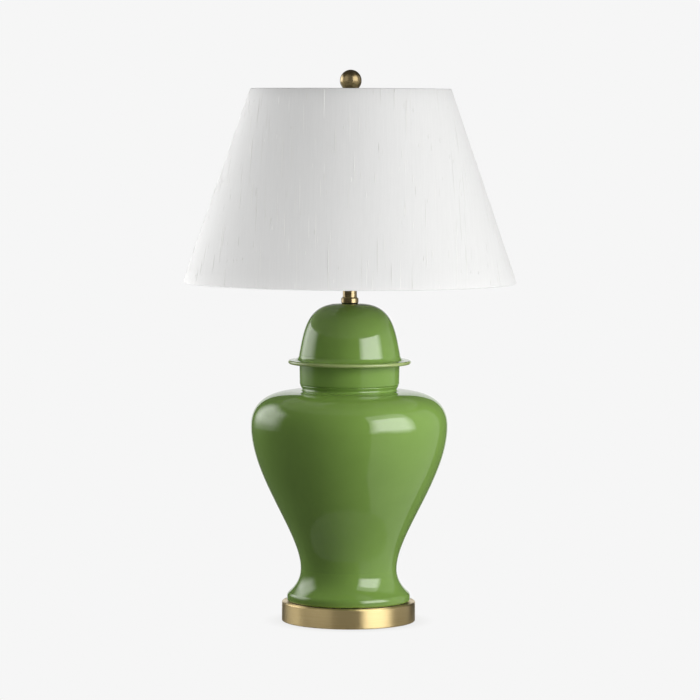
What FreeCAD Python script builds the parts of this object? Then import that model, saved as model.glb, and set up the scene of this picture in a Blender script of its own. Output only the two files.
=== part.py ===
import FreeCAD, Part
import math
import os
import re
import Sketcher

doc = FreeCAD.newDocument("ginger_jar_lamp")

# ---------------------------------------------------------------------------
# Driving sizes in millimetres. The lamp stands on z = 0, on the axis of its jar;
# its front looks along -Y and its cord leaves the back, along +Y.
# ---------------------------------------------------------------------------
SIZES = {
    # how far a cut runs past what it cuts, and the gap of a sliding fit
    "cut_margin": 2.0,
    "fit_gap": 0.1,
    # base
    "pan_margin": 7.0,
    "pan_wall": 1.2,
    "pan_edge": 1.6,
    "base_height": 27.5,
    "hem_width": 5.0,
    "felt_proud": 0.6,
    "cover_thickness": 1.6,
    "glue_gap": 0.2,
    "inlet_bore": 3.6,
    "bushing_wall": 1.4,
    "bushing_reach": 8.0,
    "bushing_rim": 2.0,
    "bushing_rim_thickness": 1.8,
    "bushing_round": 1.0,
    "barb_tip": 0.2,
    "barb_step": 1.0,
    "barb_gap": 0.6,
    # rod and clamp hardware
    "rod_radius": 4.85,
    "rod_wall": 1.65,
    "rod_clearance": 0.1,
    "rod_tail": 4.0,
    "washer_radius": 15.0,
    "washer_thickness": 1.6,
    "lock_width": 3.45,
    "lock_thickness": 1.6,
    "lock_split": 2.4,
    "nut_wall": 2.3,
    "nut_height": 5.0,
    # jar
    "gasket_thickness": 1.0,
    "gasket_inset": 2.4,
    "gasket_width": 9.0,
    "rod_hole_clearance": 1.65,
    "foot_radius": 85.4,
    "foot_edge": 2.3,
    "foot_recess": 3.0,
    "foot_ring": 14.0,
    "lip_height": 6.3,
    "lip_rounding": 7.3,
    "lip_turn": 46.6,
    "lip_pull": 5.2,
    "jar_wall": 6.5,
    "floor_thickness": 8.0,
    "floor_pull": 12.0,
    "waist_radius": 66.7,
    "waist_rise": 44.2,
    "waist_pull_down": 19.2,
    "waist_pull_up": 49.3,
    "belly_radius": 136.1,
    "belly_rise": 198.6,
    "belly_pull_down": 71.5,
    "belly_pull_up": 36.6,
    "shoulder_rise": 48.9,
    "shoulder_pull": 37.1,
    "root_radius": 68.1,
    "root_rise": 8.1,
    "root_hollow": 2.4,
    "root_fillet": 3.0,
    "ledge_round": 1.2,
    "ledge_width": 4.7,
    "spigot_rise": 22.0,
    "spigot_wall": 7.4,
    "spigot_round": 2.0,
    # lid
    "collar_proud": 0.8,
    "collar_draft": 0.6,
    "collar_edge": 1.6,
    "collar_height": 28.7,
    "lid_clearance": 0.4,
    "lid_wall": 6.0,
    "flange_width": 15.6,
    "flange_thickness": 5.2,
    "flange_fillet": 8.0,
    "dome_flare": 0.3,
    "dome_side_lean": 7.0,
    "dome_side_pull": 46.7,
    "dome_top_pull": 45.5,
    "dome_top_radius": 12.0,
    "dome_height": 112.2,
    "dome_inside_lean": 4.0,
    "dome_inside_pull": 40.0,
    # neck
    "seal_inset": 0.8,
    "seal_thickness": 0.8,
    "ring_lip": 2.3,
    "ring_height": 8.2,
    "ring_round": 0.8,
    "ring_cove": 1.9,
    "ring_cove_radius": 2.5,
    "ring_land": 0.4,
    "tube_radius": 9.7,
    "tube_wall": 1.2,
    "tube_seat": 3.0,
    "tube_length": 36.8,
    # harp
    "strap_thickness": 1.6,
    "strap_width": 14.0,
    "strap_corner": 12.0,
    "tab_width": 3.6,
    "tab_short": 1.5,
    "arm_room": 11.6,
    "arm_straight": 5.9,
    "wire_radius": 1.6,
    "wire_gap": 0.3,
    "harp_height": 241.0,
    "harp_room": 16.4,
    "foot_margin": 3.0,
    "harp_sweep": 67.6,
    "harp_corner": 40.0,
    "sleeve_clearance": 0.18,
    "sleeve_wall": 1.0,
    "sleeve_length": 12.0,
    "sleeve_round": 0.6,
    "stud_radius": 3.17,
    "stud_height": 12.0,
    "stud_chamfer": 0.8,
    "plate_margin": 5.83,
    "plate_thickness": 2.0,
    # lamp holder
    "hub_wall": 3.55,
    "hub_height": 8.0,
    "cap_wall": 0.8,
    "cap_shoulder": 7.0,
    "cap_rim": 8.0,
    "cap_clearance": 0.8,
    "cap_spread": 5.0,
    "cap_corner": 1.0,
    "set_screw_radius": 1.5,
    "set_screw_head_radius": 2.6,
    "set_screw_head_height": 2.0,
    "set_screw_gap": 0.3,
    "set_screw_slot": 0.8,
    "shell_wall": 0.5,
    "shell_height": 49.0,
    "shell_lip": 4.0,
    "shell_round": 1.0,
    "liner_wall": 0.6,
    "core_height": 20.0,
    "core_hollow_radius": 8.0,
    "core_hollow_depth": 6.0,
    "core_roof": 4.0,
    "flat_depth": 2.8,
    "boss_radius": 4.4,
    "boss_height": 2.4,
    "thread_shell_wall": 0.5,
    "thread_shell_height": 25.0,
    "contact_width": 4.0,
    "contact_leaf": 0.5,
    "leaf_inset": 0.6,
    "leaf_heel": 1.0,
    "leaf_rise": 1.6,
    "leaf_tip": 1.4,
    "contact_gap": 0.2,
    "screw_radius": 2.6,
    "screw_head": 1.4,
    "screw_shank_radius": 1.6,
    "screw_standoff": 1.0,
    "screw_slot_width": 0.7,
    "screw_slot_depth": 0.5,
    "screw_rise": 7.0,
    "spindle_radius": 1.9,
    "spindle_drop": 8.0,
    "spindle_clearance": 0.3,
    "spindle_bore_depth": 4.0,
    "spindle_grip": 2.6,
    "stem_hole_clearance": 1.0,
    "knob_reach": 20.1,
    "knob_radius": 6.5,
    "knob_length": 12.0,
    "knob_face": 3.0,
    "knob_skirt_round": 1.4,
    "knob_face_round": 0.8,
    "flute_radius": 1.1,
    "flute_offset": 0.5,
    # bulb
    "bulb_radius": 30.0,
    "bulb_length": 108.0,
    "neck_step": 0.6,
    "bulb_wall": 0.8,
    "bulb_neck_pull": 22.0,
    "bulb_neck_spread": 1.2,
    "bulb_globe_pull": 21.0,
    "lamp_cap_radius": 13.0,
    "lamp_cap_height": 24.5,
    "lamp_cap_wall": 0.4,
    "lamp_cap_taper": 2.0,
    "button_radius": 4.4,
    "button_edge": 1.6,
    "button_height": 0.7,
    "insulator_height": 3.2,
    "insulator_margin": 2.4,
    "insulator_edge": 0.6,
    "insulator_seat": 0.4,
    # shade
    "shade_bottom_radius": 230.0,
    "shade_top_radius": 138.2,
    "shade_height": 266.4,
    "fabric_thickness": 0.7,
    "liner_thickness": 0.8,
    "liner_inset": 0.6,
    "spider_drop": 14.2,
    "ring_wire": 1.5,
    "ring_inset": 2.2,
    "hub_margin": 5.0,
    "hub_washer_thickness": 1.5,
    "stud_clearance": 0.25,
    "spoke_radius": 1.5,
    "spoke_gap": 1.5,
    # finial
    "finial_base_step": 2.5,
    "finial_base_height": 2.2,
    "finial_round": 1.0,
    "finial_cove": 1.4,
    "finial_cove_radius": 1.6,
    "finial_room": 1.0,
    "finial_neck_wall": 1.75,
    "finial_neck_length": 7.0,
    "ball_radius": 15.0,
    "thread_clearance": 0.08,
}

sheet = doc.addObject("Spreadsheet::Sheet", "Sizes")
for row, (name, value) in enumerate(SIZES.items(), start=1):
    sheet.set(f"A{row}", name)
    sheet.set(f"B{row}", str(value))
    sheet.setAlias(f"B{row}", name)
doc.recompute()

# ---------------------------------------------------------------------------
# Heights and places that follow from the sizes, stacked from the table up.
# ---------------------------------------------------------------------------
LEVELS = {
    "pan_radius": "foot_radius + pan_margin",
    "hem_bottom": "felt_proud",
    "hem_top": "hem_bottom + pan_wall",
    "cover_top": "hem_top + cover_thickness",
    "pan_inside": "base_height - pan_wall",
    "inlet_level": "(cover_top + pan_inside) / 2",
    "rod_bore": "rod_radius - rod_wall",
    "rod_hole": "rod_radius + rod_hole_clearance",
    "rod_seat": "rod_radius + rod_clearance",
    "lock_radius": "rod_seat + lock_width",
    "nut_flats": "2 * (rod_radius + nut_wall)",
    "lock_top": "pan_inside - washer_thickness",
    "nut_top": "lock_top - lock_thickness",
    "nut_bottom": "nut_top - nut_height",
    "rod_bottom": "nut_bottom - rod_tail",
    "jar_bottom": "base_height + gasket_thickness",
    "foot_top": "jar_bottom + foot_edge",
    "foot_inside": "foot_radius - foot_ring - jar_wall",
    "lip_top": "jar_bottom + lip_height",
    "lip_end": "lip_top + lip_rounding * sin(lip_turn)",
    "lip_end_radius": "foot_radius - lip_rounding * (1 - cos(lip_turn))",
    "floor_top": "jar_bottom + foot_recess + floor_thickness",
    "waist": "jar_bottom + waist_rise",
    "belly": "waist + belly_rise",
    "shoulder": "belly + shoulder_rise",
    "ledge": "shoulder + root_rise",
    "root_waist": "root_radius - root_hollow",
    "spigot_radius": "root_radius - ledge_width",
    "mouth_radius": "spigot_radius - spigot_wall",
    "collar_radius": "root_radius + collar_proud",
    "collar_bore": "spigot_radius + lid_clearance",
    "collar_top_radius": "collar_radius + collar_draft",
    "flange_radius": "collar_top_radius + flange_width",
    "dome_foot": "collar_top_radius + dome_flare",
    "flange_bottom": "ledge + collar_height",
    "flange_top": "flange_bottom + flange_thickness",
    "lid_top": "ledge + dome_height",
    "ring_radius": "tube_radius + ring_lip",
    "seal_radius": "ring_radius - seal_inset",
    "ring_bottom": "lid_top + seal_thickness",
    "ring_top": "ring_bottom + ring_height",
    "tube_bottom": "ring_bottom + tube_seat",
    "saddle_bottom": "tube_bottom + tube_length",
    "saddle_top": "saddle_bottom + strap_thickness",
    "thread_radius": "lamp_cap_radius + cap_clearance + thread_shell_wall",
    "core_radius": "thread_radius - fit_gap",
    "core_flat": "core_radius - flat_depth",
    "liner_radius": "thread_radius + wire_gap + fit_gap + liner_wall",
    "shell_radius": "liner_radius + fit_gap + shell_wall",
    "cap_radius": "shell_radius + wire_gap + cap_wall",
    "hub_radius": "rod_seat + hub_wall",
    "screw_seat": "hub_radius + set_screw_gap",
    "screw_end": "screw_seat + set_screw_head_height",
    "saddle_reach": "cap_radius + arm_room",
    "strap_end": "saddle_top + strap_corner + arm_straight",
    "foot_x": "saddle_reach - wire_gap - wire_radius",
    "foot_span": "(saddle_reach + strap_thickness - foot_x + wire_radius) / 2",
    "sleeve_x": "foot_x - wire_radius + foot_span",
    "sleeve_bore": "sqrt(foot_span ^ 2 + (tab_width / 2) ^ 2) + sleeve_clearance",
    "harp_seat": "saddle_bottom + harp_height",
    "plate_bottom": "harp_seat - plate_thickness",
    "wire_top": "plate_bottom - fit_gap - wire_radius",
    "harp_foot": "strap_end + wire_gap",
    "sweep_bottom": "strap_end + 2 * sleeve_length + foot_margin",
    "harp_half_width": "bulb_radius + harp_room + wire_radius",
    "sweep_shift": "harp_half_width - foot_x",
    "sweep_radius": "(harp_sweep ^ 2 + sweep_shift ^ 2) / (4 * sweep_shift)",
    "cap_floor": "saddle_top + hub_height",
    "shell_bottom": "cap_floor + cap_shoulder",
    "cap_top": "shell_bottom + cap_rim",
    "cap_turn": "shell_bottom - cap_corner",
    "hub_middle": "(saddle_top + cap_floor) / 2",
    "shell_top": "shell_bottom + shell_height",
    "liner_top": "shell_top - shell_wall - fit_gap",
    "core_bottom": "shell_bottom + shell_wall",
    "core_top": "core_bottom + core_height",
    "boss_top": "core_top + boss_height",
    "spindle_level": "core_top - spindle_drop",
    "spindle_reach": "shell_radius + knob_reach",
    "knob_end": "spindle_reach + knob_face",
    "knob_start": "knob_end - knob_length",
    "leaf_top": "boss_top + 2 * contact_leaf + leaf_rise",
    "bulb_bottom": "leaf_top + contact_gap",
    "lamp_cap_bottom": "bulb_bottom + insulator_height",
    "lamp_cap_top": "lamp_cap_bottom + lamp_cap_height",
    "bulb_top": "bulb_bottom + bulb_length",
    "bulb_centre": "bulb_top - bulb_radius",
    "bulb_neck": "lamp_cap_radius - neck_step",
    "insulator_radius": "button_radius + insulator_margin",
    "insulator_bottom": "lamp_cap_bottom - insulator_edge",
    "plate_radius": "stud_radius + plate_margin",
    "finial_bore": "stud_radius + thread_clearance",
    "finial_neck_radius": "finial_bore + finial_neck_wall",
    "finial_base_radius": "finial_neck_radius + finial_base_step",
    "hub_washer_radius": "finial_base_radius + hub_margin",
    "hub_washer_top": "harp_seat + hub_washer_thickness",
    "spoke_level": "hub_washer_top + spoke_radius - wire_gap",
    "shade_top": "harp_seat + spider_drop",
    "shade_bottom": "shade_top - shade_height",
    "shade_slope": "(shade_bottom_radius - shade_top_radius) / shade_height",
    "liner_outside": "fabric_thickness + fit_gap",
    "ring_offset": "liner_outside + liner_thickness + fit_gap + ring_wire * sqrt(1 + shade_slope ^ 2)",
    "top_ring_level": "shade_top - ring_inset",
    "top_ring_radius": "shade_top_radius + ring_inset * shade_slope - ring_offset",
    "bottom_ring_level": "shade_bottom + ring_inset",
    "bottom_ring_radius": "shade_bottom_radius - ring_inset * shade_slope - ring_offset",
    "spoke_top": "top_ring_level - ring_wire - fit_gap",
    "spoke_bend": "spoke_top - spoke_level",
    "stud_top": "harp_seat + stud_height",
    "finial_bottom": "hub_washer_top + fit_gap",
    "finial_base_top": "finial_bottom + finial_base_height",
    "ball_bottom": "finial_bottom + finial_base_height + finial_neck_length",
    "ball_centre": "ball_bottom + sqrt(ball_radius ^ 2 - finial_neck_radius ^ 2)",
    "finial_top": "ball_centre + ball_radius",
}

NAMES = re.compile(r"[a-z]+(?:_[a-z]+)*")


def bound(text):
    """The text of a size with each of its names tied to the cell or the level that holds it."""

    def owner(found):
        name = found.group()
        if name in SIZES:
            return "Sizes." + name
        return "Levels." + name if name in LEVELS else name

    return NAMES.sub(owner, text)


levels = doc.addObject("App::VarSet", "Levels")
for name, text in LEVELS.items():
    levels.addProperty("App::PropertyFloat", name, "Levels")
    levels.setExpression(name, bound(text))
    doc.recompute()


def size(text):
    """The number that a size's text stands for now."""
    return float(sheet.evalExpression(bound(text)))


def new_body(label):
    body = doc.addObject("PartDesign::Body", label)
    body.Label = label
    return body


def new_sketch(body, name, role, offset=None):
    """An empty sketch on one of the body's own origin planes, moved along its normal by offset."""
    sketch = body.newObject("Sketcher::SketchObject", name)
    plane = next(item for item in body.Origin.OriginFeatures if item.Role == role)
    sketch.AttachmentSupport = [(plane, "")]
    sketch.MapMode = "FlatFace"
    if offset:
        sketch.setExpression("AttachmentOffset.Base.z", bound(offset))
    return sketch


def tie(sketch, kind, geometry, position, text):
    """Ties one coordinate of a point of the sketch to a size."""
    value = size(text)
    if abs(value) < 1e-9:
        axis = -2 if kind == "DistanceX" else -1
        sketch.addConstraint(Sketcher.Constraint("PointOnObject", geometry, position, axis))
        return
    made = sketch.addConstraint(Sketcher.Constraint(kind, -1, 1, geometry, position, value))
    sketch.setExpression(f"Constraints[{made}]", bound(text))


def tie_point(sketch, geometry, position, point):
    tie(sketch, "DistanceX", geometry, position, point[0])
    tie(sketch, "DistanceY", geometry, position, point[1])


def place(point):
    return FreeCAD.Vector(size(point[0]), size(point[1]), 0)


LEFT, RIGHT = 1, -1


def draw_arc(sketch, start, end, radius, turn):
    """An arc under a half circle. Returns its number and the positions of its start and end."""
    chord = end - start
    half = chord.Length / 2
    across = FreeCAD.Vector(-chord.y, chord.x, 0)
    across.normalize()
    reach = size(radius)
    centre = (start + end) / 2 + across * turn * math.sqrt(max(reach ** 2 - half ** 2, 0))
    first, last = (start, end) if turn == LEFT else (end, start)
    angles = [math.atan2(point.y - centre.y, point.x - centre.x) for point in (first, last)]
    circle = Part.Circle(centre, FreeCAD.Vector(0, 0, 1), reach)
    arc = sketch.addGeometry(Part.ArcOfCircle(circle, angles[0], angles[1]))
    made = sketch.addConstraint(Sketcher.Constraint("Radius", arc, reach))
    sketch.setExpression(f"Constraints[{made}]", bound(radius))
    return arc, (1, 2) if turn == LEFT else (2, 1)


def draw_curve(sketch, start, pulls, end):
    """A smooth curve that leaves start towards the first pull and reaches end from the second."""
    spline = Part.BSplineCurve()
    poles = [start, place(pulls[0]), place(pulls[1]), end]
    spline.buildFromPolesMultsKnots(poles, (4, 4), (0.0, 1.0), False, 3)
    curve = sketch.addGeometry(spline)
    sketch.exposeInternalGeometry(curve)
    for number, pull in enumerate(pulls):
        tie_point(sketch, curve + 2 + number, 3, pull)
    return curve, (1, 2)


def draw(sketch, outline, closed=True):
    """Draws an outline. Its first item is a point (x, y); each later one is the same for a line,
    (x, y, radius, turn) for an arc, or (pull, pull, (x, y)) for a curve, up to that point."""
    corners = [item[2] if isinstance(item[0], tuple) else item[:2] for item in outline]
    steps = list(outline[1:]) + ([outline[0][:2]] if closed else [])
    drawn = []
    for number, step in enumerate(steps):
        here, there = corners[number], corners[(number + 1) % len(corners)]
        start, end = place(here), place(there)
        if isinstance(step[0], tuple):
            made = draw_curve(sketch, start, step[:2], end)
        elif len(step) == 4:
            made = draw_arc(sketch, start, end, step[2], step[3])
        else:
            made = sketch.addGeometry(Part.LineSegment(start, end)), (1, 2)
        drawn.append(made)
        tie_point(sketch, made[0], made[1][0], here)
    for number, (geometry, ends) in enumerate(drawn):
        if number + 1 < len(drawn):
            after, starts = drawn[number + 1]
        elif closed:
            after, starts = drawn[0]
        else:
            tie_point(sketch, geometry, ends[1], corners[-1])
            break
        sketch.addConstraint(Sketcher.Constraint("Coincident", geometry, ends[1], after, starts[0]))


def circle(sketch, centre, radius):
    made = sketch.addGeometry(Part.Circle(place(centre), FreeCAD.Vector(0, 0, 1), size(radius)))
    tie_point(sketch, made, 3, centre)
    number = sketch.addConstraint(Sketcher.Constraint("Radius", made, size(radius)))
    sketch.setExpression(f"Constraints[{number}]", bound(radius))


def revolve(body, name, outline):
    """Turns a closed outline of (radius, height) points about the body's own Z axis."""
    sketch = new_sketch(body, name + "_outline", "XZ_Plane")
    draw(sketch, outline)
    turned = body.newObject("PartDesign::Revolution", name)
    turned.Profile = sketch
    turned.ReferenceAxis = (sketch, ["V_Axis"])
    turned.Angle = 360
    return turned


def turned_piece(label, outline):
    body = new_body(label)
    revolve(body, label + "_turning", outline)
    return body


def tube_outline(inner, outer, bottom, top):
    return [(inner, bottom), (outer, bottom), (outer, top), (inner, top)]


def pad(body, name, sketch, thickness, symmetric=False, reverse=False):
    made = body.newObject("PartDesign::Pad", name)
    made.Profile = sketch
    made.SideType = "Symmetric" if symmetric else "One side"
    made.setExpression("Length", bound(thickness))
    made.Reversed = reverse
    return made


def pocket(body, name, sketch, depth, symmetric=False, reverse=False):
    """Cuts the sketch's outline into the body, and makes sure that it did cut."""
    doc.recompute()
    before = body.Shape.Volume
    made = body.newObject("PartDesign::Pocket", name)
    made.Profile = sketch
    made.SideType = "Symmetric" if symmetric else "One side"
    made.setExpression("Length", bound(depth))
    made.Reversed = reverse
    doc.recompute()
    if body.Shape.Volume > before - 1e-3:
        raise RuntimeError(f"{name} cuts nothing")
    return made


def side_hole(body, name, level, radius, depth, towards_back=True):
    """A round hole from the axis outwards through one side of a turned piece."""
    sketch = new_sketch(body, name + "_circle", "XZ_Plane")
    circle(sketch, ("0", level), radius)
    return pocket(body, name, sketch, depth, reverse=not towards_back)


def lay_along_y(body, level, towards_back):
    """Turns a piece drawn upright so that its own +Z points at the back or the front."""
    angle = -90 if towards_back else 90
    body.Placement.Rotation = FreeCAD.Rotation(FreeCAD.Vector(1, 0, 0), angle)
    body.setExpression("Placement.Base.z", bound(level))


# ---------------------------------------------------------------------------
# Base: a spun brass pan, closed below by a fibreboard disc with felt under it.
# ---------------------------------------------------------------------------
pan = turned_piece("base_pan", [
    ("rod_seat", "base_height"),
    ("pan_radius - pan_edge", "base_height"),
    ("pan_radius", "base_height - pan_edge", "pan_edge", RIGHT),
    ("pan_radius", "hem_bottom + pan_wall"),
    ("pan_radius - pan_wall", "hem_bottom", "pan_wall", RIGHT),
    ("pan_radius - hem_width", "hem_bottom"),
    ("pan_radius - hem_width", "hem_top"),
    ("pan_radius - pan_wall", "hem_top"),
    ("pan_radius - pan_wall", "pan_inside"),
    ("rod_seat", "pan_inside"),
])
side_hole(pan, "cord_hole", "inlet_level", "inlet_bore + bushing_wall + glue_gap",
          "pan_radius + cut_margin")

turned_piece("base_cover", tube_outline(
    "0", "pan_radius - pan_wall - glue_gap", "hem_top", "cover_top"))
turned_piece("felt_pad", tube_outline(
    "0", "pan_radius - hem_width - glue_gap", "0", "hem_top"))

# The cord's bushing: a flange outside the pan's wall, and a collar that has sprung out behind it.
bushing_radius = "inlet_bore + bushing_wall"
barb = "pan_radius - pan_wall - barb_gap"
bushing = turned_piece("cord_bushing", [
    ("inlet_bore", "pan_radius - bushing_reach"),
    (f"{bushing_radius} + barb_tip", "pan_radius - bushing_reach"),
    (f"{bushing_radius} + barb_step", barb),
    (bushing_radius, barb),
    (bushing_radius, "pan_radius"),
    (f"{bushing_radius} + bushing_rim", "pan_radius"),
    (f"{bushing_radius} + bushing_rim", "pan_radius + bushing_rim_thickness - bushing_round"),
    (f"{bushing_radius} + bushing_rim - bushing_round", "pan_radius + bushing_rim_thickness",
     "bushing_round", LEFT),
    ("inlet_bore", "pan_radius + bushing_rim_thickness"),
])
lay_along_y(bushing, "inlet_level", True)

# ---------------------------------------------------------------------------
# Clamp hardware: a hollow threaded rod holds base, jar, lid and neck together.
# ---------------------------------------------------------------------------
turned_piece("threaded_rod", tube_outline("rod_bore", "rod_radius", "rod_bottom", "cap_floor"))
turned_piece("rod_washer", tube_outline("rod_seat", "washer_radius", "lock_top", "pan_inside"))

lock = turned_piece("lock_washer", tube_outline("rod_seat", "lock_radius", "nut_top", "lock_top"))
split = new_sketch(lock, "split_outline", "XY_Plane", "nut_top")
draw(split, tube_outline("0", "lock_radius + cut_margin", "-lock_split / 2", "lock_split / 2"))
pocket(lock, "split", split, "lock_thickness + cut_margin", reverse=True)

nut = new_body("rod_nut")
hexagon = new_sketch(nut, "hexagon", "XY_Plane", "nut_bottom")
corner = "nut_flats / sqrt(3)"
draw(hexagon, [
    (corner, "0"),
    (f"{corner} / 2", "nut_flats / 2"),
    (f"-{corner} / 2", "nut_flats / 2"),
    (f"-{corner}", "0"),
    (f"-{corner} / 2", "-nut_flats / 2"),
    (f"{corner} / 2", "-nut_flats / 2"),
])
pad(nut, "nut_block", hexagon, "nut_height")
nut_bore = new_sketch(nut, "nut_bore_circle", "XY_Plane", "nut_bottom")
circle(nut_bore, ("0", "0"), "rod_seat")
pocket(nut, "nut_bore", nut_bore, "nut_height + cut_margin", reverse=True)

# ---------------------------------------------------------------------------
# Jar: slip-cast and glazed. The foot flares over the gasket, the waist sweeps up to the
# belly and the shoulder closes to a neck whose ledge carries the lid.
# ---------------------------------------------------------------------------
turned_piece("foot_gasket", tube_outline(
    "foot_radius - gasket_inset - gasket_width", "foot_radius - gasket_inset",
    "base_height", "jar_bottom"))

turned_piece("jar_body", [
    ("rod_hole", "jar_bottom + foot_recess"),
    ("foot_radius - foot_ring", "jar_bottom + foot_recess"),
    ("foot_radius - foot_ring", "jar_bottom"),
    ("foot_radius - foot_edge", "jar_bottom"),
    ("foot_radius", "foot_top", "foot_edge", LEFT),
    ("foot_radius", "lip_top"),
    ("lip_end_radius", "lip_end", "lip_rounding", LEFT),
    (("lip_end_radius - lip_pull * sin(lip_turn)", "lip_end + lip_pull * cos(lip_turn)"),
     ("waist_radius", "waist - waist_pull_down"),
     ("waist_radius", "waist")),
    (("waist_radius", "waist + waist_pull_up"),
     ("belly_radius", "belly - belly_pull_down"),
     ("belly_radius", "belly")),
    (("belly_radius", "belly + belly_pull_up"),
     ("root_waist + root_fillet + shoulder_pull", "shoulder"),
     ("root_waist + root_fillet", "shoulder")),
    ("root_waist", "shoulder + root_fillet", "root_fillet", RIGHT),
    ("root_radius", "ledge - ledge_round"),
    ("root_radius - ledge_round", "ledge", "ledge_round", LEFT),
    ("spigot_radius", "ledge"),
    ("spigot_radius", "ledge + spigot_rise - spigot_round"),
    ("spigot_radius - spigot_round", "ledge + spigot_rise", "spigot_round", LEFT),
    ("mouth_radius", "ledge + spigot_rise"),
    ("mouth_radius", "shoulder - jar_wall"),
    (("mouth_radius + shoulder_pull", "shoulder - jar_wall"),
     ("belly_radius - jar_wall", "belly + belly_pull_up - jar_wall"),
     ("belly_radius - jar_wall", "belly")),
    (("belly_radius - jar_wall", "belly - belly_pull_down"),
     ("waist_radius - jar_wall", "waist + waist_pull_up"),
     ("waist_radius - jar_wall", "waist")),
    (("waist_radius - jar_wall", "waist - waist_pull_down"),
     ("foot_inside", "floor_top + floor_pull"),
     ("foot_inside", "floor_top")),
    ("rod_hole", "floor_top"),
])

# Lid: its collar fits over the jar's neck and stands on the ledge, with the flange above it.
flange_round = "flange_thickness / 2"
turned_piece("jar_lid", [
    ("rod_hole", "lid_top"),
    ("dome_top_radius", "lid_top"),
    (("dome_top_radius + dome_top_pull", "lid_top"),
     ("dome_foot - dome_side_lean", "flange_top + dome_side_pull"),
     ("dome_foot", "flange_top + flange_fillet")),
    ("dome_foot + flange_fillet", "flange_top", "flange_fillet", LEFT),
    (f"flange_radius - {flange_round}", "flange_top"),
    ("flange_radius", f"flange_top - {flange_round}", flange_round, RIGHT),
    (f"flange_radius - {flange_round}", "flange_bottom", flange_round, RIGHT),
    ("collar_top_radius", "flange_bottom"),
    ("collar_radius", "ledge + collar_edge"),
    ("collar_radius - collar_edge", "ledge", "collar_edge", RIGHT),
    ("collar_bore", "ledge"),
    ("collar_bore", "flange_top"),
    (("collar_bore - dome_inside_lean", "flange_top + dome_inside_pull"),
     ("dome_top_radius + dome_inside_pull", "lid_top - lid_wall"),
     ("dome_top_radius", "lid_top - lid_wall")),
    ("rod_hole", "lid_top - lid_wall"),
])

# ---------------------------------------------------------------------------
# Neck: a turned brass ring on a thin seal, with the brass tube seated in it.
# ---------------------------------------------------------------------------
turned_piece("lid_gasket", tube_outline("rod_seat", "seal_radius", "lid_top", "ring_bottom"))
turned_piece("neck_ring", [
    ("rod_seat", "ring_bottom"),
    ("ring_radius - ring_round", "ring_bottom"),
    ("ring_radius", "ring_bottom + ring_round", "ring_round", LEFT),
    ("ring_radius", "ring_top - ring_cove"),
    ("tube_radius + fit_gap + ring_land", "ring_top", "ring_cove_radius", RIGHT),
    ("tube_radius + fit_gap", "ring_top"),
    ("tube_radius + fit_gap", "tube_bottom"),
    ("rod_seat", "tube_bottom"),
])
turned_piece("neck_tube", tube_outline(
    "tube_radius - tube_wall", "tube_radius", "tube_bottom", "saddle_bottom"))

# ---------------------------------------------------------------------------
# Harp: a bent strap under the lamp holder, a wire bow that drops over its two tabs, sleeves
# that slide down to lock them, and the stud plate that carries the shade.
# ---------------------------------------------------------------------------
saddle = new_body("harp_saddle")
seat = new_sketch(saddle, "seat_circle", "XY_Plane", "saddle_bottom")
circle(seat, ("0", "0"), "tube_radius")
pad(saddle, "seat", seat, "strap_thickness")
strap = new_sketch(saddle, "strap_outline", "XZ_Plane")
strap_outside = "saddle_reach + strap_thickness"
outer_corner = "strap_corner + strap_thickness"
draw(strap, [
    ("0", "saddle_bottom"),
    (f"{strap_outside} - ({outer_corner})", "saddle_bottom"),
    (strap_outside, f"saddle_bottom + {outer_corner}", outer_corner, LEFT),
    (strap_outside, "strap_end"),
    ("saddle_reach", "strap_end"),
    ("saddle_reach", "saddle_top + strap_corner"),
    ("saddle_reach - strap_corner", "saddle_top", "strap_corner", RIGHT),
    ("0", "saddle_top"),
])
pad(saddle, "strap", strap, "strap_width", symmetric=True)
tab = new_sketch(saddle, "tab_outline", "XZ_Plane")
draw(tab, tube_outline(
    "saddle_reach", strap_outside, "strap_end - cut_margin",
    "harp_foot + sleeve_length - tab_short"))
tab_pad = pad(saddle, "tab", tab, "tab_width", symmetric=True)
doc.recompute()
other_side = saddle.newObject("PartDesign::Mirrored", "other_arm")
other_side.Originals = [saddle.getObject("strap"), tab_pad]
other_side.MirrorPlane = (strap, ["V_Axis"])
saddle.Tip = other_side
seat_bore = new_sketch(saddle, "seat_bore_circle", "XY_Plane", "saddle_bottom")
circle(seat_bore, ("0", "0"), "rod_seat")
pocket(saddle, "seat_bore", seat_bore, "strap_thickness + cut_margin", reverse=True)

bow = new_body("harp_bow")
bow_path = new_sketch(bow, "bow_path", "XZ_Plane")
draw(bow_path, [
    ("foot_x", "harp_foot"),
    ("foot_x", "sweep_bottom"),
    ("foot_x + sweep_shift / 2", "sweep_bottom + harp_sweep / 2", "sweep_radius", RIGHT),
    ("harp_half_width", "sweep_bottom + harp_sweep", "sweep_radius", LEFT),
    ("harp_half_width", "wire_top - harp_corner"),
    ("harp_half_width - harp_corner", "wire_top", "harp_corner", LEFT),
    ("0", "wire_top"),
], closed=False)
bow_section = new_sketch(bow, "bow_section", "XY_Plane", "harp_foot")
circle(bow_section, ("foot_x", "0"), "wire_radius")
bow_half = bow.newObject("PartDesign::AdditivePipe", "bow_half")
bow_half.Profile = bow_section
bow_half.Spine = (bow_path, [])
doc.recompute()
bow_whole = bow.newObject("PartDesign::Mirrored", "bow_whole")
bow_whole.Originals = [bow_half]
bow_whole.MirrorPlane = (bow_path, ["V_Axis"])
bow.Tip = bow_whole

turned_piece("harp_stud", [
    ("0", "plate_bottom"),
    ("plate_radius", "plate_bottom"),
    ("plate_radius", "harp_seat"),
    ("stud_radius", "harp_seat"),
    ("stud_radius", "stud_top - stud_chamfer"),
    ("stud_radius - stud_chamfer", "stud_top"),
    ("0", "stud_top"),
])

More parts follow.
